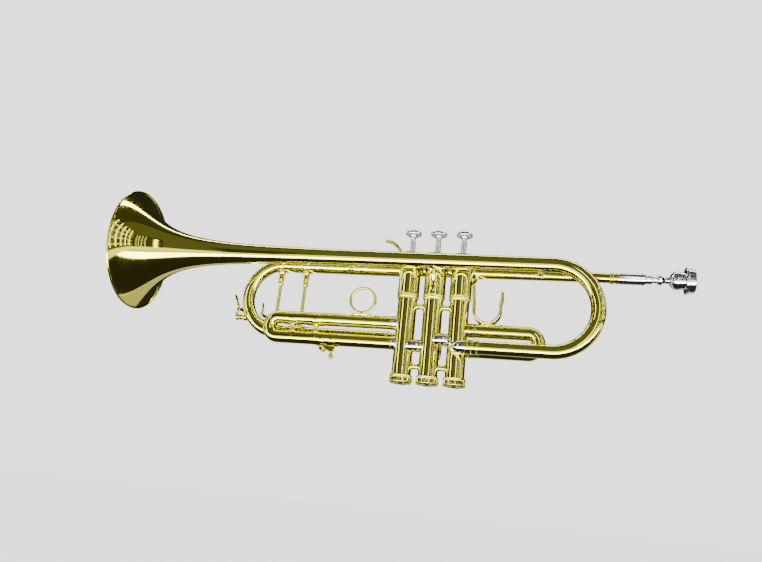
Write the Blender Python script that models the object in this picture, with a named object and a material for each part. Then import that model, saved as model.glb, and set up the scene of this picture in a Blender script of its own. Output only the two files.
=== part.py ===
"""A B-flat trumpet as separate parts, in metres.

The origin is on the middle valve's axis, on the flat face of its bottom cap.
+X points forwards to the bell's mouth, +Y to the player's left, +Z up along the valves.
"""

import math

import bmesh
import bpy
from mathutils import Matrix, Vector

# Driving dimensions, in metres. Heights are measured CAP_FACE_Z below the bottom caps' faces.
VALVE_PITCH = 0.0255
VALVE_STROKE = 0.0165
BELL_Y = 0.0188
LEAD_Y = -0.0175
BELL_Z = 0.125
TAIL_Z = 0.0430
LEAD_Z = 0.1255
BELL_RIM_X = 0.312
BELL_RIM_RADIUS = 0.0615
BELL_WALL = 0.0006
BOW_CENTRE_X = -0.1123
JOINT_SHIFT = 0.003
RECEIVER_MOUTH_X = -0.1974
RECEIVER_FRONT_X = -0.1743
MOUTHPIECE_RIM_X = -0.2427

# Valve casings and pistons
CAP_FACE_Z = 0.0077
CASING_BOTTOM_Z = CAP_FACE_Z + 0.0023
SHOULDER_Z = 0.0963
CASING_TOP_Z = 0.1297
CASING_RADIUS = 0.0093
CASING_BORE = 0.0085
UPPER_RADIUS = 0.0105
UPPER_BORE = 0.0096
PISTON_RADIUS = 0.0082
BARREL_RADIUS = 0.0066
FLANGE_Z = 0.133
PISTON_TOP_Z = 0.136
STEM_RADIUS = 0.0027
STEM_TOP_Z = 0.1548
PORT_RADIUS = 0.0056
PASSAGE_RADIUS = 0.004
GAP = 0.0003

# Main tuning slide
TUNING_LOW_Z = 0.0535
TUNING_BOW_X = 0.1612
SLEEVE_END_X = 0.150
UPPER_SLEEVE_X = 0.0303
LOWER_SLEEVE_X = 0.0450
SLEEVE_RADIUS = 0.0070
SLEEVE_BORE = 0.0065
TUNING_BOW_RADIUS = 0.0062
LEG_RADIUS = 0.0061
LEG_BORE = 0.0055
KNUCKLE_BEND = 0.008

# Valve slides: two parallel tubes and a crook each
CROOK_BEND = 0.00975
SLIDE_RADIUS = 0.0065
SLIDE_BORE = 0.0061
INNER_RADIUS = 0.0058
INNER_BORE = 0.0053
COLLAR_RADIUS = 0.0069
THIRD_COLLAR = 0.0126
FIRST_COLLAR = 0.0160
THIRD_UPPER_Z = 0.0658
THIRD_CROOK_X = 0.154
FIRST_UPPER_Z = 0.0625
FIRST_CROOK_X = -0.0917
SECOND_UPPER_Z = 0.0610
SECOND_SLEEVE_Y = -0.0270
SECOND_CROOK_Y = -0.0330

# Crossovers between neighbouring casings
CROSSOVER_23_Z = 0.0440
CROSSOVER_12_Z = 0.0514
CROSSOVER_RADIUS = 0.0060

TUBE_SEGMENTS = 12
BOW_STEPS = 12
CROOK_STEPS = 6
VALVE_SEGMENTS = 20
BELL_SEGMENTS = 28
SMOOTH_ANGLE = math.radians(35)

VALVE_X = {1: -VALVE_PITCH, 2: 0.0, 3: VALVE_PITCH}
LEFT, RIGHT, FRONT, BACK = 90, -90, 0, 180
TO_FRONT_VALVE, TO_REAR_VALVE = 15, 153

# Each casing's ports as (azimuth in degrees from +X towards +Y, height):
# the way in, the way out, and the two ends of its own slide.
PORTS = {
    1: ((TO_FRONT_VALVE, CROSSOVER_12_Z), (LEFT, TAIL_Z),
        (BACK, FIRST_UPPER_Z), (BACK, FIRST_UPPER_Z - 2 * CROOK_BEND)),
    2: ((TO_FRONT_VALVE, CROSSOVER_23_Z), (TO_REAR_VALVE, CROSSOVER_12_Z),
        (RIGHT, SECOND_UPPER_Z), (RIGHT, SECOND_UPPER_Z - 2 * CROOK_BEND)),
    3: ((RIGHT, TUNING_LOW_Z), (TO_REAR_VALVE, CROSSOVER_23_Z),
        (FRONT, THIRD_UPPER_Z), (FRONT, THIRD_UPPER_Z - 2 * CROOK_BEND)),
}

X_AXIS = Vector((1, 0, 0))
Y_AXIS = Vector((0, 1, 0))
Z_AXIS = Vector((0, 0, 1))


def clear_scene():
    for old in list(bpy.data.objects):
        bpy.data.objects.remove(old, do_unlink=True)


def metal(name, colour, roughness):
    """A metal as a Principled BSDF."""
    made = bpy.data.materials.new(name)
    made.use_nodes = True
    shader = made.node_tree.nodes["Principled BSDF"]
    shader.inputs["Base Color"].default_value = (*colour, 1.0)
    shader.inputs["Metallic"].default_value = 1.0
    shader.inputs["Roughness"].default_value = roughness
    made.diffuse_color = (*colour, 1.0)
    return made


def soft_material(name, colour):
    made = metal(name, colour, 0.8)
    made.node_tree.nodes["Principled BSDF"].inputs["Metallic"].default_value = 0.0
    return made


def add_object(name, mesh_data, material, pivot=(0, 0, 0)):
    """Turn a closed bmesh in world coordinates into an object with its origin at pivot."""
    bmesh.ops.recalc_face_normals(mesh_data, faces=mesh_data.faces)
    bmesh.ops.translate(mesh_data, vec=-Vector(pivot), verts=mesh_data.verts)
    mesh = bpy.data.meshes.new(name)
    mesh_data.to_mesh(mesh)
    mesh_data.free()
    mesh.shade_smooth()
    mesh.set_sharp_from_angle(angle=SMOOTH_ANGLE)
    if material:
        mesh.materials.append(material)
    made = bpy.data.objects.new(name, mesh)
    made.location = pivot
    bpy.context.scene.collection.objects.link(made)
    return made


def helper(made):
    """Mark an object as a cutter or a filler, which is no part of the trumpet."""
    made.hide_render = True
    made.display_type = "WIRE"
    return made


def combine(target, other, operation):
    step = target.modifiers.new(operation.title(), "BOOLEAN")
    step.operation = operation
    step.solver = "EXACT"
    step.object = helper(other)
    return target


def side_axes(direction):
    """Two unit vectors square to a direction and to each other."""
    direction = Vector(direction).normalized()
    seed = Z_AXIS if abs(direction.z) < 0.9 else X_AXIS
    first = direction.cross(seed).normalized()
    return first, direction.cross(first)


def ring(mesh_data, centre, first, second, radius, segments):
    turns = [2 * math.pi * step / segments for step in range(segments)]
    return [
        mesh_data.verts.new(centre + radius * (math.cos(turn) * first + math.sin(turn) * second))
        for turn in turns
    ]


def bridge(mesh_data, one, other):
    """Join two rings, of which one may be a single point."""
    count = max(len(one), len(other))
    for step in range(count):
        after = (step + 1) % count
        corners = [one[step % len(one)], one[after % len(one)]]
        corners += [other[after % len(other)], other[step % len(other)]]
        mesh_data.faces.new(list(dict.fromkeys(corners)))


def turned(name, outline, start, direction, material, segments=TUBE_SEGMENTS, pivot=(0, 0, 0)):
    """A turned part. Its outline is a closed loop of (distance along the axis, radius) pairs."""
    mesh_data = bmesh.new()
    direction = Vector(direction).normalized()
    first, second = side_axes(direction)
    rings = []
    for along, radius in outline:
        centre = Vector(start) + along * direction
        if radius == 0:
            rings.append([mesh_data.verts.new(centre)])
        else:
            rings.append(ring(mesh_data, centre, first, second, radius, segments))
    for index, one in enumerate(rings):
        other = rings[(index + 1) % len(rings)]
        if len(one) + len(other) > 2:
            bridge(mesh_data, one, other)
    return add_object(name, mesh_data, material, pivot)


def swept(name, path, outer, inner, normal, material, segments=TUBE_SEGMENTS,
          pivot=(0, 0, 0), closed=False):
    """A tube, or a rod where inner is None, along a path that lies in the plane square to normal.

    outer and inner hold one radius for each point of the path.
    """
    mesh_data = bmesh.new()
    normal = Vector(normal).normalized()
    count = len(path)
    outside = []
    inside = []
    for index, point in enumerate(path):
        before = path[index - 1] if index or closed else point
        after = path[(index + 1) % count] if index + 1 < count or closed else point
        along = (after - before).normalized()
        side = along.cross(normal)
        outside.append(ring(mesh_data, point, normal, side, outer[index], segments))
        if inner:
            inside.append(ring(mesh_data, point, normal, side, inner[index], segments))
    for rings in (outside, inside):
        for one, other in zip(rings, rings[1:]):
            bridge(mesh_data, one, other)
    if closed:
        bridge(mesh_data, outside[-1], outside[0])
    elif inner:
        bridge(mesh_data, outside[0], inside[0])
        bridge(mesh_data, outside[-1], inside[-1])
    else:
        mesh_data.faces.new(outside[0])
        mesh_data.faces.new(outside[-1])
    return add_object(name, mesh_data, material, pivot)


def arc(centre, radius, first, second, start, end, steps):
    """Points on an arc in the plane of two unit vectors, angles in degrees from the first one."""
    points = []
    for step in range(steps + 1):
        turn = math.radians(start + (end - start) * step / steps)
        points.append(Vector(centre) + radius * (math.cos(turn) * first + math.sin(turn) * second))
    return points


def curve_through(start, control, end, steps):
    """Points on the quadratic curve from start to end that bends towards control."""
    start, control, end = Vector(start), Vector(control), Vector(end)
    points = []
    for step in range(steps + 1):
        at = step / steps
        points.append((1 - at) ** 2 * start + 2 * at * (1 - at) * control + at * at * end)
    return points


def plate(name, outline, thickness, origin, first, second, material, pivot=(0, 0, 0)):
    """A flat plate: its outline lies in the plane of first and second, centred in its thickness."""
    mesh_data = bmesh.new()
    normal = first.cross(second)
    sides = []
    for shift in (-thickness / 2, thickness / 2):
        base = Vector(origin) + shift * normal
        sides.append([mesh_data.verts.new(base + u * first + v * second) for u, v in outline])
    bridge(mesh_data, sides[0], sides[1])
    mesh_data.faces.new(sides[0])
    mesh_data.faces.new(sides[1])
    return add_object(name, mesh_data, material, pivot)


def box(name, low, high, material, pivot=(0, 0, 0)):
    """A block between two corners."""
    low, high = Vector(low), Vector(high)
    size = high - low
    outline = [(0, 0), (size.x, 0), (size.x, size.y), (0, size.y)]
    origin = Vector((low.x, low.y, (low.z + high.z) / 2))
    return plate(name, outline, size.z, origin, X_AXIS, Y_AXIS, material, pivot)


def casing_cutter(name, valve):
    """A cylinder just larger than a casing, which shapes the end of a tube that meets it."""
    outline = [(0, 0), (0, CASING_RADIUS + GAP), (0.09, CASING_RADIUS + GAP), (0.09, 0)]
    return turned(name + "_cutter", outline, (VALVE_X[valve], 0, 0), Z_AXIS, None, VALVE_SEGMENTS)


def meets_casing(made, *valves):
    for valve in valves:
        combine(made, casing_cutter(f"{made.name}_{valve}", valve), "DIFFERENCE")
    return made


def radial(azimuth):
    turn = math.radians(azimuth)
    return Vector((math.cos(turn), math.sin(turn), 0))


# Bell

def bell_radius(from_rim):
    """Outside radius of the bell: a stem with a slight taper, plus a flare that grows to the rim."""
    stem = 0.0079 - 0.0019 * from_rim
    flare = (BELL_RIM_RADIUS - 0.0079) * (1 + from_rim / 0.15) ** -5.2
    return stem + flare


def make_bell(brass):
    """Flare and stem in one piece, its rim rolled into a bead."""
    length = BELL_RIM_X - BOW_CENTRE_X - JOINT_SHIFT
    steps = 13
    stations = [length * (step / steps) ** 2.2 for step in range(1, steps + 1)]
    outside = [(along, bell_radius(along)) for along in stations]
    inside = []
    for along, radius in outside:
        slope = (bell_radius(along + 0.0005) - radius) / 0.0005
        lean = math.hypot(1, slope)
        inside.append((along + BELL_WALL * slope / lean, radius - BELL_WALL / lean))
    inside[-1] = (length, outside[-1][1] - BELL_WALL)
    bead = [(0.0020, BELL_RIM_RADIUS - 0.0022), (0.0021, BELL_RIM_RADIUS - 0.0006),
            (0.0011, BELL_RIM_RADIUS), (0, BELL_RIM_RADIUS - 0.0006),
            (0.0003, BELL_RIM_RADIUS - 0.0026)]
    outline = outside[::-1] + bead + inside
    return turned("bell", outline, (BELL_RIM_X, BELL_Y, BELL_Z), -X_AXIS, brass, BELL_SEGMENTS)


def make_bell_bow(brass):
    """U bend from the stem down to the tail, then the straight tail to the first casing."""
    bend = (BELL_Z - TAIL_Z) / 2
    centre = (BOW_CENTRE_X, BELL_Y, (BELL_Z + TAIL_Z) / 2)
    path = [Vector((BOW_CENTRE_X + JOINT_SHIFT - GAP, BELL_Y, BELL_Z))]
    path += arc(centre, bend, -X_AXIS, Z_AXIS, 90, -90, 12)
    path.append(Vector((-0.0485, BELL_Y, TAIL_Z)))
    start_radius = bell_radius(BELL_RIM_X - BOW_CENTRE_X)
    end_radius = 0.0063
    last = len(path) - 1
    outer = [start_radius + (end_radius - start_radius) * index / last for index in range(last + 1)]
    inner = [radius - BELL_WALL for radius in outer]
    swept("bell_bow", path, outer, inner, Y_AXIS, brass)


def make_bell_tail_knuckle(brass):
    """Ferrule on the bell tail and the elbow that turns it into the first casing."""
    bend = BELL_Y - 0.0098
    start = Vector((-0.0482, BELL_Y, TAIL_Z))
    ferrule_end = Vector((-0.0357, BELL_Y, TAIL_Z))
    elbow_start = Vector((VALVE_X[1] - bend, BELL_Y - bend, TAIL_Z))
    path = [start, ferrule_end, ferrule_end + Vector((0.0004, 0, 0))]
    path += arc(elbow_start, bend, Y_AXIS, X_AXIS, 0, 90, 4)
    path.append(Vector((VALVE_X[1], 0.0035, TAIL_Z)))
    outer = [0.0072, 0.0072] + [0.0062] * (len(path) - 2)
    inner = [0.0056] * len(path)
    meets_casing(swept("bell_tail_knuckle", path, outer, inner, Z_AXIS, brass), 1)


# Leadpipe, receiver and mouthpiece

def make_leadpipe(brass):
    """Tapered pipe with a beaded ring where the receiver joins it."""
    start = RECEIVER_FRONT_X + GAP
    length = UPPER_SLEEVE_X - GAP - start
    outline = [(0, 0.0050), (0.0008, 0.0056), (0.0026, 0.0056), (0.0034, 0.0050), (0.0050, 0.0050),
               (0.0058, 0.0057), (0.0078, 0.0057), (0.0086, 0.0048), (length, 0.0060),
               (length, 0.0053), (0, 0.0044)]
    turned("leadpipe", outline, (start, LEAD_Y, LEAD_Z), X_AXIS, brass)


def make_receiver(silver):
    length = RECEIVER_FRONT_X - RECEIVER_MOUTH_X
    outline = [(0, 0.0062), (0.0006, 0.0065), (0.0026, 0.0065), (0.0032, 0.0060), (length, 0.0056),
               (length, 0.0046), (0, 0.0052)]
    turned("mouthpiece_receiver", outline, (RECEIVER_MOUTH_X, LEAD_Y, LEAD_Z), X_AXIS, silver, 16)


def make_mouthpiece(silver):
    """Rim, cup, throat and beaded backbore in one turned piece; its shank sits in the receiver."""
    rim = [(0, 0.0106), (0.0007, 0.0115), (0.0021, 0.0119), (0.0068, 0.0119), (0.0072, 0.0115)]
    flange = [(0.0075, 0.0126), (0.0081, 0.01275), (0.0087, 0.0126), (0.0092, 0.0095)]
    bowl = [(0.0103, 0.0086), (0.0125, 0.0091), (0.0160, 0.0093), (0.0195, 0.0085),
            (0.0219, 0.0066), (0.0234, 0.0044), (0.0246, 0.0035)]
    beads = [(0.0285, 0.0034), (0.0294, 0.0047), (0.0314, 0.0050), (0.0334, 0.0047),
             (0.0343, 0.0036), (0.0384, 0.0038), (0.0392, 0.0046), (0.0436, 0.0048)]
    shank = [(0.0676, 0.0042), (0.0676, 0.0034)]
    bore = [(0.0255, 0.0019), (0.0190, 0.0020), (0.0150, 0.0052), (0.0090, 0.0078),
            (0.0020, 0.0085), (0.0, 0.0098)]
    outline = rim + flange + bowl + beads + shank + bore
    start = (MOUTHPIECE_RIM_X, LEAD_Y, LEAD_Z)
    turned("mouthpiece", outline, start, X_AXIS, silver, 16, pivot=start)


# Main tuning slide

def make_tuning_sleeve(name, start_x, height, brass):
    """Outer sleeve with a thicker ring at its open end."""
    length = SLEEVE_END_X - start_x
    outline = [(0, SLEEVE_RADIUS), (length - 0.003, SLEEVE_RADIUS), (length - 0.0028, 0.0076),
               (length, 0.0076), (length, SLEEVE_BORE), (0, SLEEVE_BORE)]
    turned(name, outline, (start_x, LEAD_Y, height), X_AXIS, brass)


def make_tuning_knuckle(brass):
    """Elbow from the lower sleeve into the third casing."""
    elbow_centre = Vector((VALVE_X[3] + KNUCKLE_BEND, LEAD_Y + KNUCKLE_BEND, TUNING_LOW_Z))
    path = [Vector((LOWER_SLEEVE_X - GAP, LEAD_Y, TUNING_LOW_Z))]
    path += arc(elbow_centre, KNUCKLE_BEND, -Y_AXIS, -X_AXIS, 0, 90, 4)
    path.append(Vector((VALVE_X[3], -0.0035, TUNING_LOW_Z)))
    outer = [0.0062] * len(path)
    inner = [0.0056] * len(path)
    meets_casing(swept("tuning_knuckle", path, outer, inner, Z_AXIS, brass), 3)


def make_brace(name, x, low_z, high_z, brass, pivot=(0, 0, 0)):
    """Upright brace between the two levels: a rod with a thick barrel under its upper foot."""
    length = high_z - low_z
    outline = [(0, 0), (0, 0.0040), (0.0010, 0.0034), (0.0018, 0.0019), (length - 0.015, 0.0019),
               (length - 0.0143, 0.0031), (length - 0.0025, 0.0033), (length - 0.0010, 0.0044),
               (length, 0.0050), (length, 0)]
    turned(name, outline, (x, LEAD_Y, low_z), Z_AXIS, brass, 10, pivot)


def u_tube(name, centre, outward, upward, bend, stations, crook, material, steps=CROOK_STEPS):
    """A U of tube: two parallel legs joined by a half-circle crook that points outward.

    stations describe a leg from its open end to the crook, as (distance behind the crook's
    centre, outside radius, inside radius); crook is the bend's own outside and inside radius.
    """
    mesh_data = bmesh.new()
    centre = Vector(centre)
    normal = outward.cross(upward)
    outside = []
    inside = []

    def add_rings(point, away, outer, inner):
        outside.append(ring(mesh_data, point, normal, away, outer, TUBE_SEGMENTS))
        inside.append(ring(mesh_data, point, normal, away, inner, TUBE_SEGMENTS))

    for back, outer, inner in stations:
        add_rings(centre + bend * upward - back * outward, upward, outer, inner)
    for step in range(steps + 1):
        turn = math.pi * step / steps
        away = math.cos(turn) * upward + math.sin(turn) * outward
        add_rings(centre + bend * away, away, *crook)
    for back, outer, inner in reversed(stations):
        add_rings(centre - bend * upward - back * outward, -upward, outer, inner)
    for rings in (outside, inside):
        for one, other in zip(rings, rings[1:]):
            bridge(mesh_data, one, other)
    bridge(mesh_data, outside[0], inside[0])
    bridge(mesh_data, outside[-1], inside[-1])
    return add_object(name, mesh_data, material, centre)


def tuning_bow_centre():
    return Vector((TUNING_BOW_X, LEAD_Y, (LEAD_Z + TUNING_LOW_Z) / 2))


def make_tuning_slide(brass):
    """Two legs that run in the sleeves and the bow that joins them, with a ferrule on each leg."""
    ferrule_back = TUNING_BOW_X - SLEEVE_END_X - GAP
    stations = [(TUNING_BOW_X - 0.075, LEG_RADIUS, LEG_BORE), (ferrule_back, LEG_RADIUS, LEG_BORE),
                (ferrule_back - 0.0001, 0.0070, LEG_BORE), (0.0012, 0.0070, LEG_BORE),
                (0.0011, TUNING_BOW_RADIUS, LEG_BORE)]
    bend = (LEAD_Z - TUNING_LOW_Z) / 2
    crook = (TUNING_BOW_RADIUS, LEG_BORE)
    u_tube("tuning_slide", tuning_bow_centre(), X_AXIS, Z_AXIS, bend, stations, crook, brass, BOW_STEPS)


# Water keys, one on the tuning slide's bow and one on the third slide's crook

def torus(name, centre, bend, radius, steps):
    path = arc(centre, bend, X_AXIS, Z_AXIS, 0, 360, steps)[:-1]
    return swept(name, path, [radius] * steps, None, Y_AXIS, None, closed=True)


def settle(made, seat, lean, size, pivot):
    """Scale a key's part from its own frame, lean it back, and set it on its seat."""
    matrix = Matrix.Translation(Vector(seat)) @ Matrix.Rotation(-lean, 4, "Y") @ Matrix.Scale(size, 4)
    made.data.transform(Matrix.Translation(-Vector(pivot)) @ matrix)
    made.location = pivot
    return made


def make_water_key(prefix, bow_centre, bend, tube_radius, bow_steps, seat_angle, lean, size,
                   brass, cork):
    """Nipple and saddle on the bow, the lever with its cup, and the cork in the cup.

    In the key's own frame x points away from the bow, z up, and the nipple's axis is the x axis.
    """
    seat_turn = math.radians(seat_angle)
    reach = bend + tube_radius
    seat = Vector(bow_centre) + reach * Vector((math.cos(seat_turn), 0, math.sin(seat_turn)))
    lean = math.radians(lean)
    hinge_local = Vector((0.0085, 0, 0.0075))
    hinge = seat + size * (Matrix.Rotation(-lean, 3, "Y") @ hinge_local)

    nipple = [(-0.0060, 0), (-0.0060, 0.0024), (0.0040, 0.0024), (0.0046, 0.0019), (0.0060, 0.0017),
              (0.0060, 0)]
    saddle = turned(prefix + "_seat", nipple, (0, 0, 0), X_AXIS, brass, 10)
    ears = [(-0.0050, -0.0015), (0.0026, 0.0005), (0.0050, 0.0046), (0.0098, 0.0062),
            (0.0102, 0.0090), (0.0075, 0.0096), (-0.0050, 0.0110)]
    block = plate(prefix + "_ears", ears, 0.0060, (0, 0, 0), X_AXIS, Z_AXIS, None)
    slot = box(prefix + "_slot", (0.0042, -0.0018, 0.0032), (0.0140, 0.0018, 0.0130), None)
    for piece in (saddle, block, slot):
        settle(piece, seat, lean, size, (0, 0, 0))
    combine(saddle, block, "UNION")
    combine(saddle, slot, "DIFFERENCE")
    bow_cutter = torus(prefix + "_bow_cutter", bow_centre, bend, tube_radius + GAP, 2 * bow_steps)
    combine(saddle, bow_cutter, "DIFFERENCE")

    pad = [(0.0063, 0), (0.0063, 0.0024), (0.0082, 0.0024), (0.0082, 0)]
    settle(turned(prefix + "_cork", pad, (0, 0, 0), X_AXIS, cork, 10, pivot=(0, 0, 0)),
           seat, lean, size, hinge)

    arm = [(0.0085, -0.0024), (0.0124, -0.0024), (0.0136, 0.0010), (0.0126, 0.0060),
           (0.0122, 0.0120), (0.0150, 0.0228), (0.0140, 0.0232), (0.0105, 0.0130),
           (0.0082, 0.0096), (0.0068, 0.0078), (0.0074, 0.0058), (0.0105, 0.0040),
           (0.0112, 0.0026), (0.0085, 0.0026)]
    lever = plate(prefix + "_lever", arm, 0.0030, (0, 0, 0), X_AXIS, Z_AXIS, brass)
    cup = [(0.0085, 0), (0.0085, 0.0031), (0.0112, 0.0031), (0.0122, 0.0022), (0.0122, 0)]
    filler = turned(prefix + "_cup", cup, (0, 0, 0), X_AXIS, None, 10)
    settle(lever, seat, lean, size, hinge)
    settle(filler, seat, lean, size, (0, 0, 0))
    combine(lever, filler, "UNION")
    return hinge


def make_water_keys(brass, cork):
    tuning_bend = (LEAD_Z - TUNING_LOW_Z) / 2
    make_water_key("tuning_key", tuning_bow_centre(), tuning_bend, TUNING_BOW_RADIUS,
                   BOW_STEPS, -31.5, 0, 1.0, brass, cork)
    make_water_key("third_key", third_crook_centre(), CROOK_BEND, SLIDE_RADIUS,
                   CROOK_STEPS, 14, 22, 0.72, brass, cork)


# Valves

def make_casing(valve, brass):
    """Casing with a wide upper part, a bead between the two, and a hole for each of its tubes."""
    outline = [(CASING_BOTTOM_Z, CASING_RADIUS), (0.0908, CASING_RADIUS), (0.0914, 0.0109),
               (0.0938, 0.0109), (0.0945, UPPER_RADIUS), (0.1265, UPPER_RADIUS), (0.1270, 0.0108),
               (CASING_TOP_Z, 0.0108), (CASING_TOP_Z, UPPER_BORE), (SHOULDER_Z, UPPER_BORE),
               (SHOULDER_Z, CASING_BORE), (CASING_BOTTOM_Z, CASING_BORE)]
    base = (VALVE_X[valve], 0, 0)
    made = turned(f"valve_casing_{valve}", outline, base, Z_AXIS, brass, VALVE_SEGMENTS)
    for count, (azimuth, height) in enumerate(PORTS[valve]):
        start = Vector(base) + Vector((0, 0, height)) + 0.004 * radial(azimuth)
        hole = pipe_cutter(f"casing_{valve}_port_{count}", start, radial(azimuth), 0.010, PORT_RADIUS)
        combine(made, hole, "DIFFERENCE")


def pipe_cutter(name, start, direction, length, radius):
    outline = [(0, 0), (0, radius), (length, radius), (length, 0)]
    return turned(name, outline, start, direction, None, TUBE_SEGMENTS)


def make_caps(valve, brass, silver):
    base = (VALVE_X[valve], 0, 0)
    top = [(0.1300, 0.0104), (0.1306, 0.0107), (0.1368, 0.0107), (0.1378, 0.0100), (0.1380, 0.0030),
           (0.1363, 0.0030), (0.1363, 0.0098), (0.1300, 0.0098)]
    turned(f"top_cap_{valve}", top, base, Z_AXIS, silver, 20)
    bottom = [(0, 0), (0, 0.0101), (0.0007, 0.0108), (0.0074, 0.0108), (0.0080, 0.0105),
              (0.0080, 0.0096), (0.0020, 0.0096), (0.0020, 0)]
    face = (VALVE_X[valve], 0, CAP_FACE_Z)
    turned(f"bottom_cap_{valve}", bottom, face, Z_AXIS, brass, 20)


def passages(valve):
    """The piston's three passages at rest, each as its two ends (azimuth, height)."""
    way_in, way_out, slide_high, slide_low = PORTS[valve]

    def raised(port):
        return port[0], port[1] + VALVE_STROKE

    return ((way_in, way_out), (raised(way_in), raised(slide_high)),
            (raised(slide_low), raised(way_out)))


def make_piston(valve, steel):
    """Piston with its passages, the narrow barrel that the spring surrounds, and its top flange."""
    base = Vector((VALVE_X[valve], 0, 0))
    outline = [(0.0275, PISTON_RADIUS), (0.0930, PISTON_RADIUS), (0.0938, BARREL_RADIUS),
               (FLANGE_Z, BARREL_RADIUS), (FLANGE_Z, 0.0092), (PISTON_TOP_Z, 0.0092),
               (PISTON_TOP_Z, 0), (0.0320, 0), (0.0320, 0.0060), (0.0275, 0.0060)]
    made = turned(f"piston_{valve}", outline, base, Z_AXIS, steel, 20, pivot=base)
    for count, (one, other) in enumerate(passages(valve)):
        start = base + 0.010 * radial(one[0]) + Vector((0, 0, one[1]))
        end = base + 0.010 * radial(other[0]) + Vector((0, 0, other[1]))
        middle = base + Vector((0, 0, (one[1] + other[1]) / 2))
        path = curve_through(start, middle, end, 4)
        normal = (middle - start).cross(end - middle)
        cutter = swept(f"piston_{valve}_passage_{count}", path, [PASSAGE_RADIUS] * len(path), None,
                       normal, None, 8)
        combine(made, cutter, "DIFFERENCE")


def make_stem_and_button(valve, silver):
    base = (VALVE_X[valve], 0, 0)
    low = PISTON_TOP_Z + GAP
    stem = [(low, 0), (low, STEM_RADIUS), (STEM_TOP_Z, STEM_RADIUS), (STEM_TOP_Z, 0)]
    turned(f"valve_stem_{valve}", stem, base, Z_AXIS, silver, 12, pivot=base)
    foot = STEM_TOP_Z + GAP
    button = [(foot, 0), (foot, 0.0034), (foot + 0.0014, 0.0068), (foot + 0.0025, 0.0079),
              (foot + 0.0040, 0.0080), (foot + 0.0050, 0.0074), (foot + 0.0051, 0.0062),
              (foot + 0.0044, 0.0056), (foot + 0.0044, 0)]
    turned(f"finger_button_{valve}", button, base, Z_AXIS, silver, 16, pivot=base)


def make_spring(valve, steel):
    """Coil spring round the piston's barrel, between the casing's shoulder and the flange."""
    wire = 0.00045
    mean_radius = 0.0087
    low = SHOULDER_Z + GAP + wire
    high = FLANGE_Z - GAP - wire
    turns = 4
    per_turn = 8
    total = turns * per_turn
    mesh_data = bmesh.new()
    rings = []
    for step in range(total + 1):
        turn = 2 * math.pi * step / per_turn
        out = Vector((math.cos(turn), math.sin(turn), 0))
        centre = Vector((VALVE_X[valve], 0, low + (high - low) * step / total)) + mean_radius * out
        rings.append(ring(mesh_data, centre, out, Z_AXIS, wire, 4))
    for one, other in zip(rings, rings[1:]):
        bridge(mesh_data, one, other)
    mesh_data.faces.new(rings[0])
    mesh_data.faces.new(rings[-1])
    add_object(f"valve_spring_{valve}", mesh_data, steel)


def make_crossover(name, front, rear, height, silver):
    """Short arched tube between two neighbouring casings, on their left side."""
    front_x = VALVE_X[front]
    rear_x = VALVE_X[rear]
    start = (front_x + 0.0003, -0.0005, height)
    middle = ((front_x + rear_x) / 2 + 0.0028, 0.0095, height)
    path = curve_through(start, middle, (rear_x + 0.0053, -0.0005, height), 6)
    outer = [CROSSOVER_RADIUS] * len(path)
    inner = [CROSSOVER_RADIUS - 0.0008] * len(path)
    meets_casing(swept(name, path, outer, inner, Z_AXIS, silver), front, rear)


# Valve slides

def third_crook_centre():
    return Vector((THIRD_CROOK_X, 0, THIRD_UPPER_Z - CROOK_BEND))


def first_crook_centre():
    return Vector((FIRST_CROOK_X, 0, FIRST_UPPER_Z - CROOK_BEND))


def second_crook_centre():
    return Vector((0, SECOND_CROOK_Y, SECOND_UPPER_Z - CROOK_BEND))


def make_inner_tubes(prefix, valve, outward, upper_z, collar, length, silver):
    """The two tubes that stand on a casing and carry its slide.

    Each has a collar, which ends at that distance from the casing's axis.
    """
    from_axis = 0.006
    collar_end = collar - from_axis
    full = length - from_axis
    outline = [(0, COLLAR_RADIUS), (collar_end, COLLAR_RADIUS), (collar_end, INNER_RADIUS),
               (full, INNER_RADIUS), (full, INNER_BORE), (0, INNER_BORE)]
    for label, height in (("upper", upper_z), ("lower", upper_z - 2 * CROOK_BEND)):
        start = Vector((VALVE_X[valve], 0, height)) + from_axis * outward
        tube = turned(f"{prefix}_inner_tube_{label}", outline, start, outward, silver)
        meets_casing(tube, valve)


def make_third_slide(brass, silver):
    make_inner_tubes("third", 3, X_AXIS, THIRD_UPPER_Z, THIRD_COLLAR, 0.120, silver)
    open_end = VALVE_X[3] + THIRD_COLLAR + GAP
    stations = [(THIRD_CROOK_X - open_end, SLIDE_RADIUS, SLIDE_BORE), (0.0006, SLIDE_RADIUS, SLIDE_BORE)]
    crook = (SLIDE_RADIUS, 0.0056)
    u_tube("third_slide_tube", third_crook_centre(), X_AXIS, Z_AXIS, CROOK_BEND, stations, crook, brass)
    low = THIRD_UPPER_Z - 2 * CROOK_BEND + SLIDE_RADIUS + GAP
    high = THIRD_UPPER_Z - SLIDE_RADIUS - GAP
    length = high - low
    post = [(0, 0), (0, 0.0030), (0.0008, 0.0026), (0.0014, 0.0014), (length - 0.0014, 0.0014),
            (length - 0.0008, 0.0026), (length, 0.0030), (length, 0)]
    for label, x in (("front", 0.139), ("rear", 0.115)):
        turned(f"third_slide_post_{label}", post, (x, 0, low), Z_AXIS, brass, 10,
               pivot=third_crook_centre())


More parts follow.
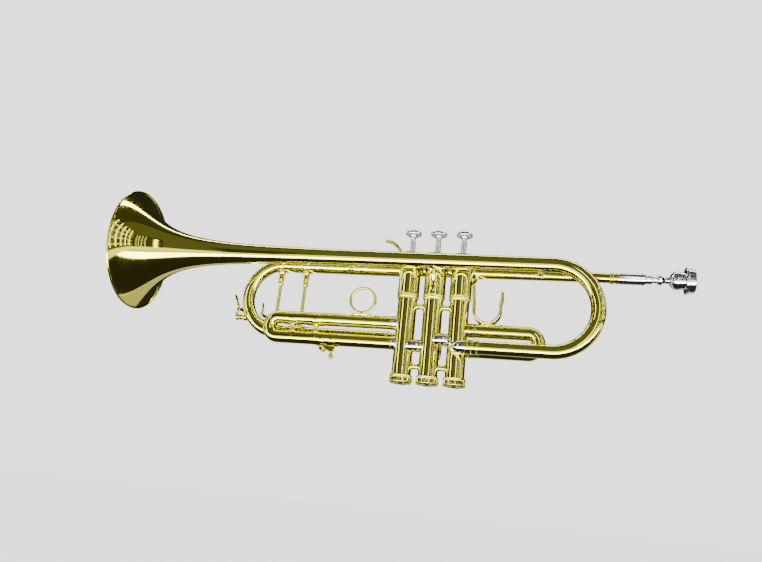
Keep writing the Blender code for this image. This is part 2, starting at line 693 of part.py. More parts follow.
def make_finger_ring(brass):
    """Ring on the third slide's upper tube, standing on a plate foot."""
    outer_radius = 0.0140
    wire = 0.0011
    foot_low = THIRD_UPPER_Z + SLIDE_RADIUS + GAP
    foot_high = foot_low + 0.0012
    centre_x = 0.0705
    centre = Vector((centre_x, 0, foot_high + outer_radius - 0.0004))
    path = arc(centre, outer_radius - wire, X_AXIS, Z_AXIS, 0, 360, 24)[:-1]
    made = swept("finger_ring", path, [wire] * len(path), None, Y_AXIS, brass, 8,
                 pivot=third_crook_centre(), closed=True)
    foot = box("finger_ring_foot", (centre_x - 0.014, -0.0028, foot_low),
               (centre_x + 0.014, 0.0028, foot_high), None)
    combine(made, foot, "UNION")


def make_lyre_socket(brass):
    """Block under the third slide's lower tube that takes a music holder, and its thumb screw."""
    top = THIRD_UPPER_Z - 2 * CROOK_BEND - SLIDE_RADIUS - GAP
    low = top - 0.0058
    pivot = third_crook_centre()
    socket = box("lyre_socket", (0.0935, -0.0040, low), (0.1125, 0.0040, top), brass, pivot)
    bore = pipe_cutter("lyre_bore", (0.1060, -0.006, (low + top) / 2), Y_AXIS, 0.012, 0.0018)
    combine(socket, bore, "DIFFERENCE")
    screw = [(0, 0), (0, 0.0019), (0.0008, 0.0022), (0.0048, 0.0022), (0.0052, 0.0014),
             (low - GAP - 0.0265, 0.0014), (low - GAP - 0.0265, 0)]
    turned("lyre_screw", screw, (0.0968, 0, 0.0265), Z_AXIS, brass, 10, pivot=pivot)


def make_first_slide(brass, silver):
    make_inner_tubes("first", 1, -X_AXIS, FIRST_UPPER_Z, FIRST_COLLAR, 0.060, silver)
    open_end = VALVE_X[1] - FIRST_COLLAR - GAP
    stations = [(open_end - FIRST_CROOK_X, SLIDE_RADIUS, SLIDE_BORE), (0.0006, SLIDE_RADIUS, SLIDE_BORE)]
    crook = (SLIDE_RADIUS, 0.0056)
    u_tube("first_slide_tube", first_crook_centre(), -X_AXIS, Z_AXIS, CROOK_BEND, stations, crook, brass)


def make_thumb_saddle(brass):
    """U-shaped strip on the first slide for the thumb, with a plate foot."""
    foot_low = FIRST_UPPER_Z + SLIDE_RADIUS + GAP
    foot_high = foot_low + 0.0012
    half_width = 0.0060
    bend = 0.0140
    thick = 0.0014
    centre = Vector((-0.0520, 0, foot_high + bend - 0.0004))
    middle_line = [centre + Vector((0.0142, 0, 0.0225)),
                   centre + Vector((bend - thick / 2, 0, 0.0100))]
    middle_line += arc(centre, bend - thick / 2, X_AXIS, Z_AXIS, 0, -180, 12)
    middle_line += [centre + Vector((thick / 2 - bend, 0, 0.0100)),
                    centre + Vector((-0.0142, 0, 0.0180))]
    outer_side = []
    inner_side = []
    for index, point in enumerate(middle_line):
        before = middle_line[max(index - 1, 0)]
        after = middle_line[min(index + 1, len(middle_line) - 1)]
        along = (after - before).normalized()
        across = Vector((-along.z, 0, along.x))
        outer_side.append(point + thick / 2 * across)
        inner_side.append(point - thick / 2 * across)
    outline = [(point.x, point.z) for point in outer_side + inner_side[::-1]]
    pivot = first_crook_centre()
    made = plate("thumb_saddle", outline, 2 * half_width, (0, 0, 0), X_AXIS, Z_AXIS, brass, pivot)
    foot = box("thumb_saddle_foot", (-0.0660, -0.0030, foot_low), (-0.0470, 0.0030, foot_high), None)
    combine(made, foot, "UNION")


def make_second_slide(brass):
    """Two sleeves on the far side of the middle casing, and the short slide with its pull knob."""
    outward = -Y_AXIS
    from_axis = 0.006
    length = -SECOND_SLEEVE_Y - from_axis
    outline = [(0, SLIDE_RADIUS), (length, SLIDE_RADIUS), (length, SLIDE_BORE), (0, SLIDE_BORE)]
    for label, height in (("upper", SECOND_UPPER_Z), ("lower", SECOND_UPPER_Z - 2 * CROOK_BEND)):
        start = Vector((0, -from_axis, height))
        sleeve = turned(f"second_sleeve_{label}", outline, start, outward, brass)
        meets_casing(sleeve, 2)
    ferrule_back = SECOND_SLEEVE_Y - GAP - SECOND_CROOK_Y
    stations = [(-SECOND_CROOK_Y - 0.0125, INNER_RADIUS, INNER_BORE),
                (ferrule_back, INNER_RADIUS, INNER_BORE),
                (ferrule_back - 0.0001, SLIDE_RADIUS, INNER_BORE),
                (0.0006, SLIDE_RADIUS, INNER_BORE)]
    crook = (INNER_RADIUS, INNER_BORE)
    slide = u_tube("second_slide_tube", second_crook_centre(), outward, Z_AXIS, CROOK_BEND, stations,
                   crook, brass)
    knob_start = second_crook_centre() + (CROOK_BEND + INNER_RADIUS - 0.0012) * outward
    knob = [(0, 0), (0, 0.0016), (0.0040, 0.0016), (0.0048, 0.0030), (0.0070, 0.0032),
            (0.0080, 0.0024), (0.0080, 0)]
    combine(slide, turned("second_slide_knob", knob, knob_start, outward, None, 10), "UNION")


# Braces, hook

def make_bell_brace(name, x, pipe_radius, brass):
    """Cross brace between the bell stem and the leadpipe, with a wide foot at each end."""
    bell_side = BELL_Y - bell_radius(BELL_RIM_X - x) - GAP
    pipe_side = LEAD_Y + pipe_radius + GAP
    length = bell_side - pipe_side
    outline = [(0, 0), (0, 0.0045), (0.0010, 0.0040), (0.0020, 0.0020), (length / 2, 0.0016),
               (length - 0.0020, 0.0020), (length - 0.0010, 0.0040), (length, 0.0045), (length, 0)]
    turned(name, outline, (x, pipe_side, BELL_Z), Y_AXIS, brass, 10)


def make_casing_brace(brass):
    """Diamond foot on the middle casing and the post that rises from it to the bell stem."""
    foot_centre = Vector((0, UPPER_RADIUS + 0.0010, 0.1035))
    diamond = [(-0.0042, 0), (0, -0.0052), (0.0042, 0), (0, 0.0052)]
    made = plate("casing_to_bell_brace", diamond, 0.0012, foot_centre, X_AXIS, Z_AXIS, brass)
    path = [Vector((0, 0.0118, 0.1040)), Vector((0, 0.0138, 0.1085)), Vector((0, 0.0160, 0.1130)),
            Vector((0, 0.0174, 0.1170))]
    post = swept("casing_brace_post", path, [0.0016, 0.0016, 0.0016, 0.0020], None, X_AXIS, None, 8)
    combine(made, post, "UNION")


def make_finger_hook(brass):
    """Hook for the little finger, on the upper tuning sleeve just ahead of the third valve."""
    foot_low = LEAD_Z + SLEEVE_RADIUS + GAP
    path = curve_through((0.0385, LEAD_Y, foot_low + 0.0008), (0.0400, LEAD_Y, 0.1530),
                         (0.0567, LEAD_Y, 0.1567), 8)
    radii = [0.0013] * len(path)
    made = swept("finger_hook", path, radii, None, Y_AXIS, brass, 8)
    foot = box("finger_hook_foot", (0.0320, LEAD_Y - 0.0028, foot_low),
               (0.0450, LEAD_Y + 0.0028, foot_low + 0.0012), None)
    combine(made, foot, "UNION")


def lower_to_cap_faces():
    """Bring the bottom caps' faces to z = 0. All heights above are measured from a lower level."""
    for made in bpy.context.scene.objects:
        made.location.z -= CAP_FACE_Z


def main():
    clear_scene()
    brass = metal("lacquered_brass", (0.78, 0.60, 0.22), 0.12)
    silver = metal("silver_plate", (0.86, 0.86, 0.84), 0.12)
    steel = metal("spring_steel", (0.62, 0.63, 0.62), 0.25)
    cork = soft_material("cork", (0.55, 0.38, 0.22))

    make_bell(brass)
    make_bell_bow(brass)
    make_bell_tail_knuckle(brass)
    make_leadpipe(brass)
    make_receiver(silver)
    make_mouthpiece(silver)

    make_tuning_sleeve("tuning_sleeve_upper", UPPER_SLEEVE_X, LEAD_Z, brass)
    make_tuning_sleeve("tuning_sleeve_lower", LOWER_SLEEVE_X, TUNING_LOW_Z, brass)
    make_tuning_knuckle(brass)
    make_tuning_slide(brass)
    low = TUNING_LOW_Z + 0.0076
    high = LEAD_Z - 0.0076
    make_brace("tuning_sleeve_brace", 0.1377, low, high, brass)
    make_brace("tuning_slide_brace", 0.1645, low, high, brass, tuning_bow_centre())

    for valve in VALVE_X:
        make_casing(valve, brass)
        make_caps(valve, brass, silver)
        make_piston(valve, steel)
        make_stem_and_button(valve, silver)
        make_spring(valve, steel)
    make_crossover("crossover_2_3", 3, 2, CROSSOVER_23_Z, silver)
    make_crossover("crossover_1_2", 2, 1, CROSSOVER_12_Z, silver)

    make_third_slide(brass, silver)
    make_finger_ring(brass)
    make_lyre_socket(brass)
    make_first_slide(brass, silver)
    make_thumb_saddle(brass)
    make_second_slide(brass)
    make_water_keys(brass, cork)

    make_bell_brace("bell_brace_front", 0.088, SLEEVE_RADIUS, brass)
    make_bell_brace("bell_brace_rear", -0.100, 0.0055, brass)
    make_casing_brace(brass)
    make_finger_hook(brass)
    lower_to_cap_faces()


main()
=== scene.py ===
"""Looks for the trumpet: polished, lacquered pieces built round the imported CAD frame.

Places and sizes are in metres, in the frame's axes: +X forwards to the bell's mouth, +Y to the
player's left, +Z up along the valves. Outlines of turned pieces are lists of (length along,
radius), in millimetres where metres() or lathe() reads them. Places come from the CAD nodes' boxes.
"""

import math

import bmesh
import bpy
from mathutils import Matrix, Vector


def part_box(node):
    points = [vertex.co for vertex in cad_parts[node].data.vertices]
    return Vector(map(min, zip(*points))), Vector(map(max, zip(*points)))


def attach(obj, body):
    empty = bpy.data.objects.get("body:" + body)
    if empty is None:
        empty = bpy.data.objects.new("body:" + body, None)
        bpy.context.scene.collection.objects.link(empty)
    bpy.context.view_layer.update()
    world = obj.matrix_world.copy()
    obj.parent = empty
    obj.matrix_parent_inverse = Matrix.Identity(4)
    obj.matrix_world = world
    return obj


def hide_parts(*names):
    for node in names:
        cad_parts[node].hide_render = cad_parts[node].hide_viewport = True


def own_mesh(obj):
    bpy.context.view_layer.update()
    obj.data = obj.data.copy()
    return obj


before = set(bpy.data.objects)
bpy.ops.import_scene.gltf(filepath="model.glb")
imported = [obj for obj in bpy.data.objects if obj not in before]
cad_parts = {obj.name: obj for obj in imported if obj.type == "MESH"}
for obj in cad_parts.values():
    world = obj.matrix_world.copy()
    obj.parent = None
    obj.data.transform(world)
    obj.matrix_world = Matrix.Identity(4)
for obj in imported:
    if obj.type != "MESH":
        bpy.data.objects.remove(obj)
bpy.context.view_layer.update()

X_AXIS = Vector((1, 0, 0))
Y_AXIS = Vector((0, 1, 0))
Z_AXIS = Vector((0, 0, 1))
VALVES = (1, 2, 3)
BODY = "trumpet_body"
BEND_STEPS = 36
OVERLAP = 0.0004  # how far a tube runs on into its neighbour
END = math.inf  # in an outline, the piece's far end


# Places read from the CAD frame

def centre_of(node):
    low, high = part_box(node)
    return (low + high) / 2


def low_of(node):
    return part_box(node)[0]


def high_of(node):
    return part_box(node)[1]


# Camera

def make_camera():
    """Looks up at the trumpet's left side from below its level, slightly rolled."""
    place = Vector((-0.10166, 0.70194, -0.10167))
    target = Vector((0.05423, 0.0, 0.10029))
    roll = math.radians(5.90)
    ahead = (target - place).normalized()
    right = ahead.cross(Z_AXIS).normalized()
    up = right.cross(ahead)
    rolled_right = math.cos(roll) * right + math.sin(roll) * up
    rolled_up = math.cos(roll) * up - math.sin(roll) * right
    camera = bpy.data.cameras.new("camera")
    camera.lens = 35.51
    camera.sensor_width = 36.0
    camera.clip_start = 0.01
    holder = bpy.data.objects.new("camera", camera)
    turn = Matrix((rolled_right, rolled_up, -ahead)).transposed().to_4x4()
    holder.matrix_world = Matrix.Translation(place) @ turn
    bpy.context.scene.collection.objects.link(holder)
    bpy.context.scene.camera = holder


# Materials

class Finish:
    """A Principled material whose colour, roughness and bump come from small node networks."""

    def __init__(self, name):
        self.material = bpy.data.materials.new(name)
        self.material.use_nodes = True
        self.nodes = self.material.node_tree.nodes
        self.links = self.material.node_tree.links
        self.shader = self.nodes["Principled BSDF"]
        self.place = self.nodes.new("ShaderNodeTexCoord")

    def value(self, socket, number):
        self.shader.inputs[socket].default_value = number

    def node(self, kind, source, socket, values):
        """A new node whose socket takes a source, and whose other sockets hold those values."""
        made = self.nodes.new(kind)
        for name, number in values.items():
            made.inputs[name].default_value = number
        self.links.new(source, made.inputs[socket])
        return made

    def noise(self, scale, detail=3.0, stretch=(1, 1, 1)):
        spot = self.place.outputs["Object"]
        mapping = self.node("ShaderNodeMapping", spot, "Vector", {"Scale": stretch})
        made = self.node("ShaderNodeTexNoise", mapping.outputs["Vector"], "Vector",
                         {"Scale": scale, "Detail": detail})
        return made.outputs["Fac"]

    def remap(self, source, low, high, start=0.3, end=0.7):
        ends = {"From Min": start, "From Max": end, "To Min": low, "To Max": high}
        return self.node("ShaderNodeMapRange", source, "Value", ends).outputs["Result"]

    def blend(self, factor, one, other):
        """A colour between two, where each is a colour or another node's output."""
        made = self.nodes.new("ShaderNodeMix")
        made.data_type = "RGBA"
        self.links.new(factor, made.inputs["Factor"])
        for socket, colour in ((made.inputs[6], one), (made.inputs[7], other)):
            if isinstance(colour, tuple):
                socket.default_value = (*colour, 1.0)
            else:
                self.links.new(colour, socket)
        return made.outputs[2]

    def feed(self, source, socket):
        self.links.new(source, self.shader.inputs[socket])

    def bump(self, height, strength, distance):
        made = self.node("ShaderNodeBump", height, "Height",
                         {"Strength": strength, "Distance": distance})
        self.feed(made.outputs["Normal"], "Normal")


def polished(name, light, deep, stain, roughness, coat):
    """Buffed metal: slow colour drift, faint stains, smudged gloss and buffing waviness."""
    made = Finish(name)
    made.value("Metallic", 1.0)
    made.value("Coat Weight", coat)
    made.value("Coat Roughness", 0.03)
    drift = made.remap(made.noise(14.0, 2.0), 0.0, 1.0)
    body = made.blend(drift, light, deep)
    spots = made.remap(made.noise(120.0, 4.0), 0.0, 0.10, 0.62, 0.78)
    made.feed(made.blend(spots, body, stain), "Base Color")
    smudge = made.remap(made.noise(55.0, 5.0), roughness[0], roughness[1])
    made.feed(smudge, "Roughness")
    made.bump(made.noise(90.0, 1.0), 0.010, 0.00005)
    return made.material


def satin_steel(name):
    made = Finish(name)
    made.value("Metallic", 1.0)
    lines = made.noise(900.0, 3.0, (1, 1, 0.04))
    made.feed(made.blend(lines, (0.50, 0.51, 0.50), (0.68, 0.69, 0.67)), "Base Color")
    made.feed(made.remap(lines, 0.22, 0.38), "Roughness")
    made.bump(lines, 0.15, 0.0001)
    return made.material


def cork_like(name):
    made = Finish(name)
    grain = made.noise(1400.0, 6.0)
    made.feed(made.blend(made.remap(grain, 0, 1, 0.4, 0.6), (0.52, 0.33, 0.17), (0.25, 0.13, 0.06)),
              "Base Color")
    made.feed(made.remap(grain, 0.7, 0.95), "Roughness")
    made.bump(grain, 0.6, 0.0003)
    return made.material


def felt_like(name):
    made = Finish(name)
    fuzz = made.noise(2500.0, 8.0)
    made.feed(made.blend(fuzz, (0.62, 0.60, 0.55), (0.86, 0.84, 0.78)), "Base Color")
    made.value("Roughness", 0.95)
    made.value("Sheen Weight", 0.4)
    made.bump(fuzz, 0.8, 0.0003)
    return made.material


def pearl_like(name):
    """Mother-of-pearl: pale bands of pink and green under a clear polish."""
    made = Finish(name)
    bands = made.noise(160.0, 4.0, (1, 2.2, 1))
    tint = made.blend(made.remap(bands, 0, 1), (0.82, 0.70, 0.74), (0.66, 0.82, 0.78))
    cloud = made.remap(made.noise(420.0, 3.0), 0.0, 0.7)
    made.feed(made.blend(cloud, tint, (0.93, 0.92, 0.88)), "Base Color")
    made.feed(made.remap(bands, 0.12, 0.3), "Roughness")
    made.value("Coat Weight", 0.8)
    made.value("Coat Roughness", 0.05)
    return made.material


BRASS = polished("lacquered_brass", (0.76, 0.73, 0.10), (0.70, 0.64, 0.06), (0.48, 0.36, 0.03),
                 (0.05, 0.10), 0.35)
SILVER = polished("silver_plate", (0.84, 0.84, 0.81), (0.74, 0.74, 0.72), (0.50, 0.48, 0.43),
                  (0.04, 0.10), 0.0)
STEEL = satin_steel("satin_steel")
CORK = cork_like("water_key_cork")
FELT = felt_like("white_felt")
PEARL = pearl_like("mother_of_pearl")


# Routes and outlines

class Route:
    """A line through space made of straight runs and bends, measured by length from its start."""

    def __init__(self, start, direction):
        self.point = Vector(start)
        self.along = Vector(direction).normalized()
        seed = Z_AXIS if abs(self.along.z) < 0.9 else X_AXIS
        self.normal = self.along.cross(seed).normalized()
        self.length = 0.0
        self.samples = [(0.0, self.point, self.along, self.normal)]

    def keep(self):
        self.samples.append((self.length, self.point, self.along, self.normal))
        return self

    def line(self, length):
        self.point = self.point + length * self.along
        self.length += length
        return self.keep()

    def turn(self, radius, degrees, axis, steps=BEND_STEPS):
        """Bend by so many degrees about an axis, right-handed, at that centreline radius."""
        axis = Vector(axis).normalized()
        centre = self.point + radius * axis.cross(self.along)
        step = Matrix.Rotation(math.radians(degrees) / steps, 3, axis)
        for _ in range(steps):
            self.point = centre + step @ (self.point - centre)
            self.along = step @ self.along
            self.normal = step @ self.normal
            self.length += radius * math.radians(degrees) / steps
            self.keep()
        return self

    def at(self, length):
        """Point, direction and normal at that length; beyond either end the route runs straight on."""
        samples = self.samples
        index = 1
        while index < len(samples) - 1 and samples[index][0] < length:
            index += 1
        one, other = samples[index - 1], samples[index]
        share = (length - one[0]) / (other[0] - one[0])
        bounded = min(max(share, 0.0), 1.0)
        point = one[1].lerp(other[1], share)
        along = one[2].lerp(other[2], bounded).normalized()
        normal = one[3].lerp(other[3], bounded).normalized()
        return point, along, normal


def rounded(outline, radius=0.0003, steps=4):
    """A closed outline with its corners turned into small arcs, and a guard point beside each."""
    points = [Vector(point) for point in outline]
    made = []
    for index, corner in enumerate(points):
        back = points[index - 1] - corner
        ahead = points[(index + 1) % len(points)] - corner
        straight = back.normalized().dot(ahead.normalized()) < -0.985
        reach = min(radius, 0.4 * back.length, 0.4 * ahead.length)
        if corner.y <= 0 or straight or reach < 1e-6:
            made.append(corner)
            continue
        first = corner + reach * back.normalized()
        last = corner + reach * ahead.normalized()
        made.append(first + 0.15 * reach * back.normalized())
        for step in range(steps + 1):
            at = step / steps
            made.append(first.lerp(corner, at).lerp(corner.lerp(last, at), at))
        made.append(last + 0.15 * reach * ahead.normalized())
    return made


def smooth(points, per_span=6):
    """Points on the soft curve through the given ones (Catmull-Rom)."""
    points = [Vector(point) for point in points]
    made = []
    for index in range(len(points) - 1):
        before = points[max(index - 1, 0)]
        one, other = points[index], points[index + 1]
        after = points[min(index + 2, len(points) - 1)]
        for step in range(per_span):
            at = step / per_span
            made.append(0.5 * (2 * one + (other - before) * at
                               + (2 * before - 5 * one + 4 * other - after) * at ** 2
                               + (3 * one - before - 3 * other + after) * at ** 3))
    made.append(points[-1])
    return made


# Piece builders

def piece(name, mesh_data, material, body, replaced=(), sharp=None):
    """Turn a bmesh into a shown piece that rides on a CAD body."""
    bmesh.ops.recalc_face_normals(mesh_data, faces=mesh_data.faces)
    mesh = bpy.data.meshes.new(name)
    mesh_data.to_mesh(mesh)
    mesh_data.free()
    mesh.shade_smooth()
    if sharp:
        mesh.set_sharp_from_angle(angle=math.radians(sharp))
    mesh.materials.append(material)
    made = bpy.data.objects.new(name, mesh)
    bpy.context.scene.collection.objects.link(made)
    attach(made, body)
    if replaced:
        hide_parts(*replaced)
    return made


def ring(mesh_data, centre, first, second, radii):
    count = len(radii)
    made = []
    for step, radius in enumerate(radii):
        turn = 2 * math.pi * step / count
        out = math.cos(turn) * first + math.sin(turn) * second
        made.append(mesh_data.verts.new(centre + radius * out))
    return made


def bridge(mesh_data, one, other):
    count = max(len(one), len(other))
    for step in range(count):
        after = (step + 1) % count
        corners = [one[step % len(one)], one[after % len(one)]]
        corners += [other[after % len(other)], other[step % len(other)]]
        mesh_data.faces.new(list(dict.fromkeys(corners)))


def with_bends(route, outline):
    """The closed outline, with a point added wherever the route bends between two of its points."""
    marks = [sample[0] for sample in route.samples]
    made = []
    for index, one in enumerate(outline):
        other = outline[(index + 1) % len(outline)]
        made.append((one[0], one[1]))
        low, high = sorted((one[0], other[0]))
        between = [mark for mark in marks if low + 1e-5 < mark < high - 1e-5]
        if one[1] == other[1] == 0:
            between = []
        if other[0] < one[0]:
            between.reverse()
        for mark in between:
            share = (mark - one[0]) / (other[0] - one[0])
            made.append((mark, one[1] + share * (other[1] - one[1])))
    return made


def turned(name, route, outline, material, body, replaced=(), segments=48, ripple=None, sharp=None):
    """Sweep a closed outline of (length along the route, radius) points round a route.

    ripple, if given, takes (length, turn) and gives how far the surface sinks there.
    """
    mesh_data = bmesh.new()
    rings = []
    for length, radius in with_bends(route, outline):
        point, along, normal = route.at(length)
        if radius <= 0:
            rings.append([mesh_data.verts.new(point)])
            continue
        radii = [radius] * segments
        if ripple:
            radii = [radius - ripple(length, 2 * math.pi * step / segments) for step in range(segments)]
        rings.append(ring(mesh_data, point, normal, along.cross(normal), radii))
    for index, one in enumerate(rings):
        other = rings[(index + 1) % len(rings)]
        if len(one) + len(other) > 2:
            bridge(mesh_data, one, other)
    return piece(name, mesh_data, material, body, replaced, sharp)


def metres(outline, length=0.0):
    """An outline given in millimetres. A negative length counts back from the far end."""
    return [(length if along == END else along / 1000 + (length if along < 0 else 0), radius / 1000)
            for along, radius in outline]


def vectors(*places):
    """Places given in millimetres."""
    return [Vector(place) / 1000 for place in places]


def lathe(name, start, direction, length, outline, material, body, replaced=(), segments=48,
          edge=0.3, **more):
    """Turn a straight piece. Its outline, and the edge that rounds its corners, are in millimetres."""
    made = metres(outline, length)
    if edge:
        made = rounded(made, edge / 1000)
    route = Route(start, direction).line(length)
    turned(name, route, made, material, body, replaced, segments, **more)


def diamond(name, body, axis_point, axis, out, radius, half_length, half_width, thickness=0.0006):
    """A diamond flange that wraps a tube, its long points along the tube."""
    mesh_data = bmesh.new()
    steps = 10
    axis_point = Vector(axis_point)
    out = Vector(out).normalized()
    side = axis.cross(out)
    layers = []
    for lift in (-0.0002, thickness):
        grid = []
        for row in range(steps + 1):
            line = []
            for column in range(steps + 1):
                u = 2 * row / steps - 1
                v = 2 * column / steps - 1
                along = (u + v) / 2 * half_length
                around = (u - v) / 2 * half_width / radius
                rim = max(abs(u), abs(v)) ** 8
                height = radius + lift - (0.5 * thickness * rim if lift > 0 else 0)
                away = math.cos(around) * out + math.sin(around) * side
                line.append(mesh_data.verts.new(axis_point + along * axis + height * away))
            grid.append(line)
        layers.append(grid)
    for grid in layers:
        for row in range(steps):
            for column in range(steps):
                mesh_data.faces.new((grid[row][column], grid[row + 1][column],
                                     grid[row + 1][column + 1], grid[row][column + 1]))
    rim_path = [(0, c) for c in range(steps)] + [(r, steps) for r in range(steps)]
    rim_path += [(steps, steps - c) for c in range(steps)] + [(steps - r, 0) for r in range(steps)]
    bridge(mesh_data, *([grid[row][column] for row, column in rim_path] for grid in layers))
    piece(name, mesh_data, BRASS, body, (), 40)


def plate(name, body, outline, thickness, origin, first, second, edge=0.0003):
    """A flat plate with softened edges; its outline lies in the plane of first and second."""
    mesh_data = bmesh.new()
    normal = first.cross(second)
    sides = []
    for shift in (-thickness / 2, thickness / 2):
        base = Vector(origin) + shift * normal
        sides.append([mesh_data.verts.new(base + u * first + v * second) for u, v in outline])
    bridge(mesh_data, sides[0], sides[1])
    mesh_data.faces.new(sides[0])
    mesh_data.faces.new(sides[1])
    bevel = piece(name, mesh_data, BRASS, body, (), 30).modifiers.new("softened_edges", "BEVEL")
    bevel.width = edge
    bevel.segments = 3
    bevel.limit_method = "ANGLE"
    bevel.angle_limit = math.radians(30)
    bevel.harden_normals = True
    bevel.use_clamp_overlap = True


def strip(name, path, width, thickness, across, material, body, replaced=()):
    """A bent strip: a rounded rectangle carried along a path, its width along across."""
    mesh_data = bmesh.new()
    rings = []
    corner_steps = 5
    for index, point in enumerate(path):
        before = path[max(index - 1, 0)]
        after = path[min(index + 1, len(path) - 1)]
        along = (after - before).normalized()
        up = across.cross(along)
        radius = thickness / 2
        section = []
        for side in (1, -1):
            for step in range(corner_steps + 1):
                turn = math.pi * step / corner_steps
                shift = side * (width / 2 - radius + radius * math.sin(turn))
                rise = side * radius * math.cos(turn)
                section.append(mesh_data.verts.new(point + shift * across + rise * up))
        rings.append(section)
    for one, other in zip(rings, rings[1:]):
        bridge(mesh_data, one, other)
    mesh_data.faces.new(rings[0])
    mesh_data.faces.new(rings[-1])
    piece(name, mesh_data, material, body, replaced, 50)


# Bell side

BELL = centre_of("bell")
BELL_RIM_X = high_of("bell").x
BELL_END_X = low_of("bell").x
BELL_RIM_RADIUS = (high_of("bell").z - low_of("bell").z) / 2
BELL_WALL = 0.0006
STEM_RADIUS = 0.0079
STEM_TAPER = 0.0019
FLARE_LENGTH = 0.15
FLARE_POWER = -5.2
BOW_BEND = (BELL.z - (low_of("bell_bow").z + 0.0063)) / 2
TAIL_Z = BELL.z - 2 * BOW_BEND
BOW_CENTRE_X = BELL_END_X - 0.003


def bell_radius(from_rim):
    """The bell's outside radius: a stem with a slight taper, plus a flare that grows to the rim."""
    flare = (BELL_RIM_RADIUS - STEM_RADIUS) * (1 + from_rim / FLARE_LENGTH) ** FLARE_POWER
    return STEM_RADIUS - STEM_TAPER * from_rim + flare


def make_bell():
    """Thin spun shell whose edge is rolled back over a wire."""
    length = BELL_RIM_X - BELL_END_X
    route = Route((BELL_RIM_X, BELL.y, BELL.z), -X_AXIS).line(length)
    first = 0.00097
    inner_first = 0.00066
    nudge = 0.0002
    steps = 72
    crowding = 2.4  # sets more stations near the rim
    stations = [first + (length - first) * (step / steps) ** crowding for step in range(steps + 1)]
    outside = [(along, bell_radius(along)) for along in stations]
    inside = []
    for along, radius in [(inner_first, bell_radius(inner_first))] + outside[:-1]:
        slope = (bell_radius(along + nudge) - radius) / nudge
        lean = math.hypot(1, slope)
        inside.append((along + BELL_WALL * slope / lean, radius - BELL_WALL / lean))
    inside.append((length, outside[-1][1] - BELL_WALL))
    wire = 0.0010
    bead = []
    for degrees in range(-70, 201, 15):
        turn = math.radians(degrees)
        bead.append((wire + wire * math.cos(turn), BELL_RIM_RADIUS - wire + wire * math.sin(turn)))
    turned("bell_shell", route, outside[::-1] + bead + inside, BRASS, BODY, ["bell"], 120, sharp=50)


def make_bell_bow():
    start = BELL_END_X + OVERLAP
    tail_end = high_of("bell_bow").x + OVERLAP
    route = Route((start, BELL.y, BELL.z), -X_AXIS).line(start - BOW_CENTRE_X)
    route.turn(BOW_BEND, 180, -Y_AXIS, 60).line(tail_end - BOW_CENTRE_X)
    first = bell_radius(BELL_RIM_X - start)
    length = route.length
    outline = [(0, first), (length, 0.0063), (length, 0.0057), (0, first - BELL_WALL)]
    turned("bell_bow_tube", route, outline, BRASS, BODY, ["bell_bow"], 56, sharp=50)


def make_tail_knuckle():
    """A beaded ferrule, and the plated elbow that turns the tail into the first casing."""
    low = low_of("bell_tail_knuckle").x
    ferrule = 0.0125
    lathe("bell_tail_ferrule", (low, BELL.y, TAIL_Z), X_AXIS, ferrule,
          [(0, 6.8), (0, 7.4), (1.6, 7.4), (1.9, 6.9), (5.2, 6.9), (5.6, 7.3), (7.0, 7.3), (7.4, 6.9),
           (10.6, 6.9), (10.9, 7.4), (END, 7.4), (END, 5.6), (0, 5.6)], BRASS, BODY)
    bend = BELL.y - 0.0098
    start = low + ferrule - OVERLAP
    run = centre_of("valve_casing_1").x - bend - start
    elbow = Route((start, BELL.y, TAIL_Z), X_AXIS).line(run).turn(bend, 90, -Z_AXIS).line(0.0035)
    length = elbow.length
    outline = [(0, 0.0062), (length * 0.25, 0.0064), (length * 0.7, 0.0064), (length, 0.0060),
               (length, 0.0054), (0, 0.0054)]
    turned("bell_tail_elbow", elbow, rounded(outline, 0.0002), SILVER, BODY, ["bell_tail_knuckle"])


# Leadpipe side

LEAD = centre_of("leadpipe")
TUNING_LOW_Z = centre_of("tuning_sleeve_lower").z
SLEEVE_RADIUS = 0.0070
TUNING_BOW_RADIUS = 0.0062


def lead_tube(name, node, height, overlap, outline, material):
    """A straight tube along X in the leadpipe's upright plane."""
    low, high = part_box(node)
    lathe(name, (low.x, LEAD.y, height), X_AXIS, high.x - low.x + overlap, outline, material, BODY,
          [node])


def make_leadpipe():
    lead_tube("leadpipe_tube", "leadpipe", LEAD.z, OVERLAP,
              [(0, 5.0), (0.6, 5.4), (1.6, 5.6), (2.6, 5.4), (3.2, 4.9), (5.2, 4.9), (5.8, 5.6),
               (7.6, 5.6), (8.2, 4.8), (10.0, 4.7), (END, 6.0), (END, 5.3), (0, 4.4)], BRASS)
    lead_tube("receiver_sleeve", "mouthpiece_receiver", LEAD.z, OVERLAP,
              [(0, 5.5), (0.5, 5.8), (3.0, 5.8), (3.4, 5.6), (END, 5.6), (END, 4.6), (0, 5.2)], SILVER)


def make_tuning_sleeves():
    sleeve = [(0, 6.8), (0.2, 7.5), (1.8, 7.5), (2.2, 7.0), (-4.0, 7.0), (-3.7, 7.6), (-2.4, 7.6),
              (-2.1, 7.3), (-1.4, 7.3), (-1.1, 7.6), (END, 7.6), (END, 6.5), (0, 6.5)]
    for label, height in (("upper", LEAD.z), ("lower", TUNING_LOW_Z)):
        node = f"tuning_sleeve_{label}"
        lead_tube(f"{node}_tube", node, height, 0.0, sleeve, BRASS)


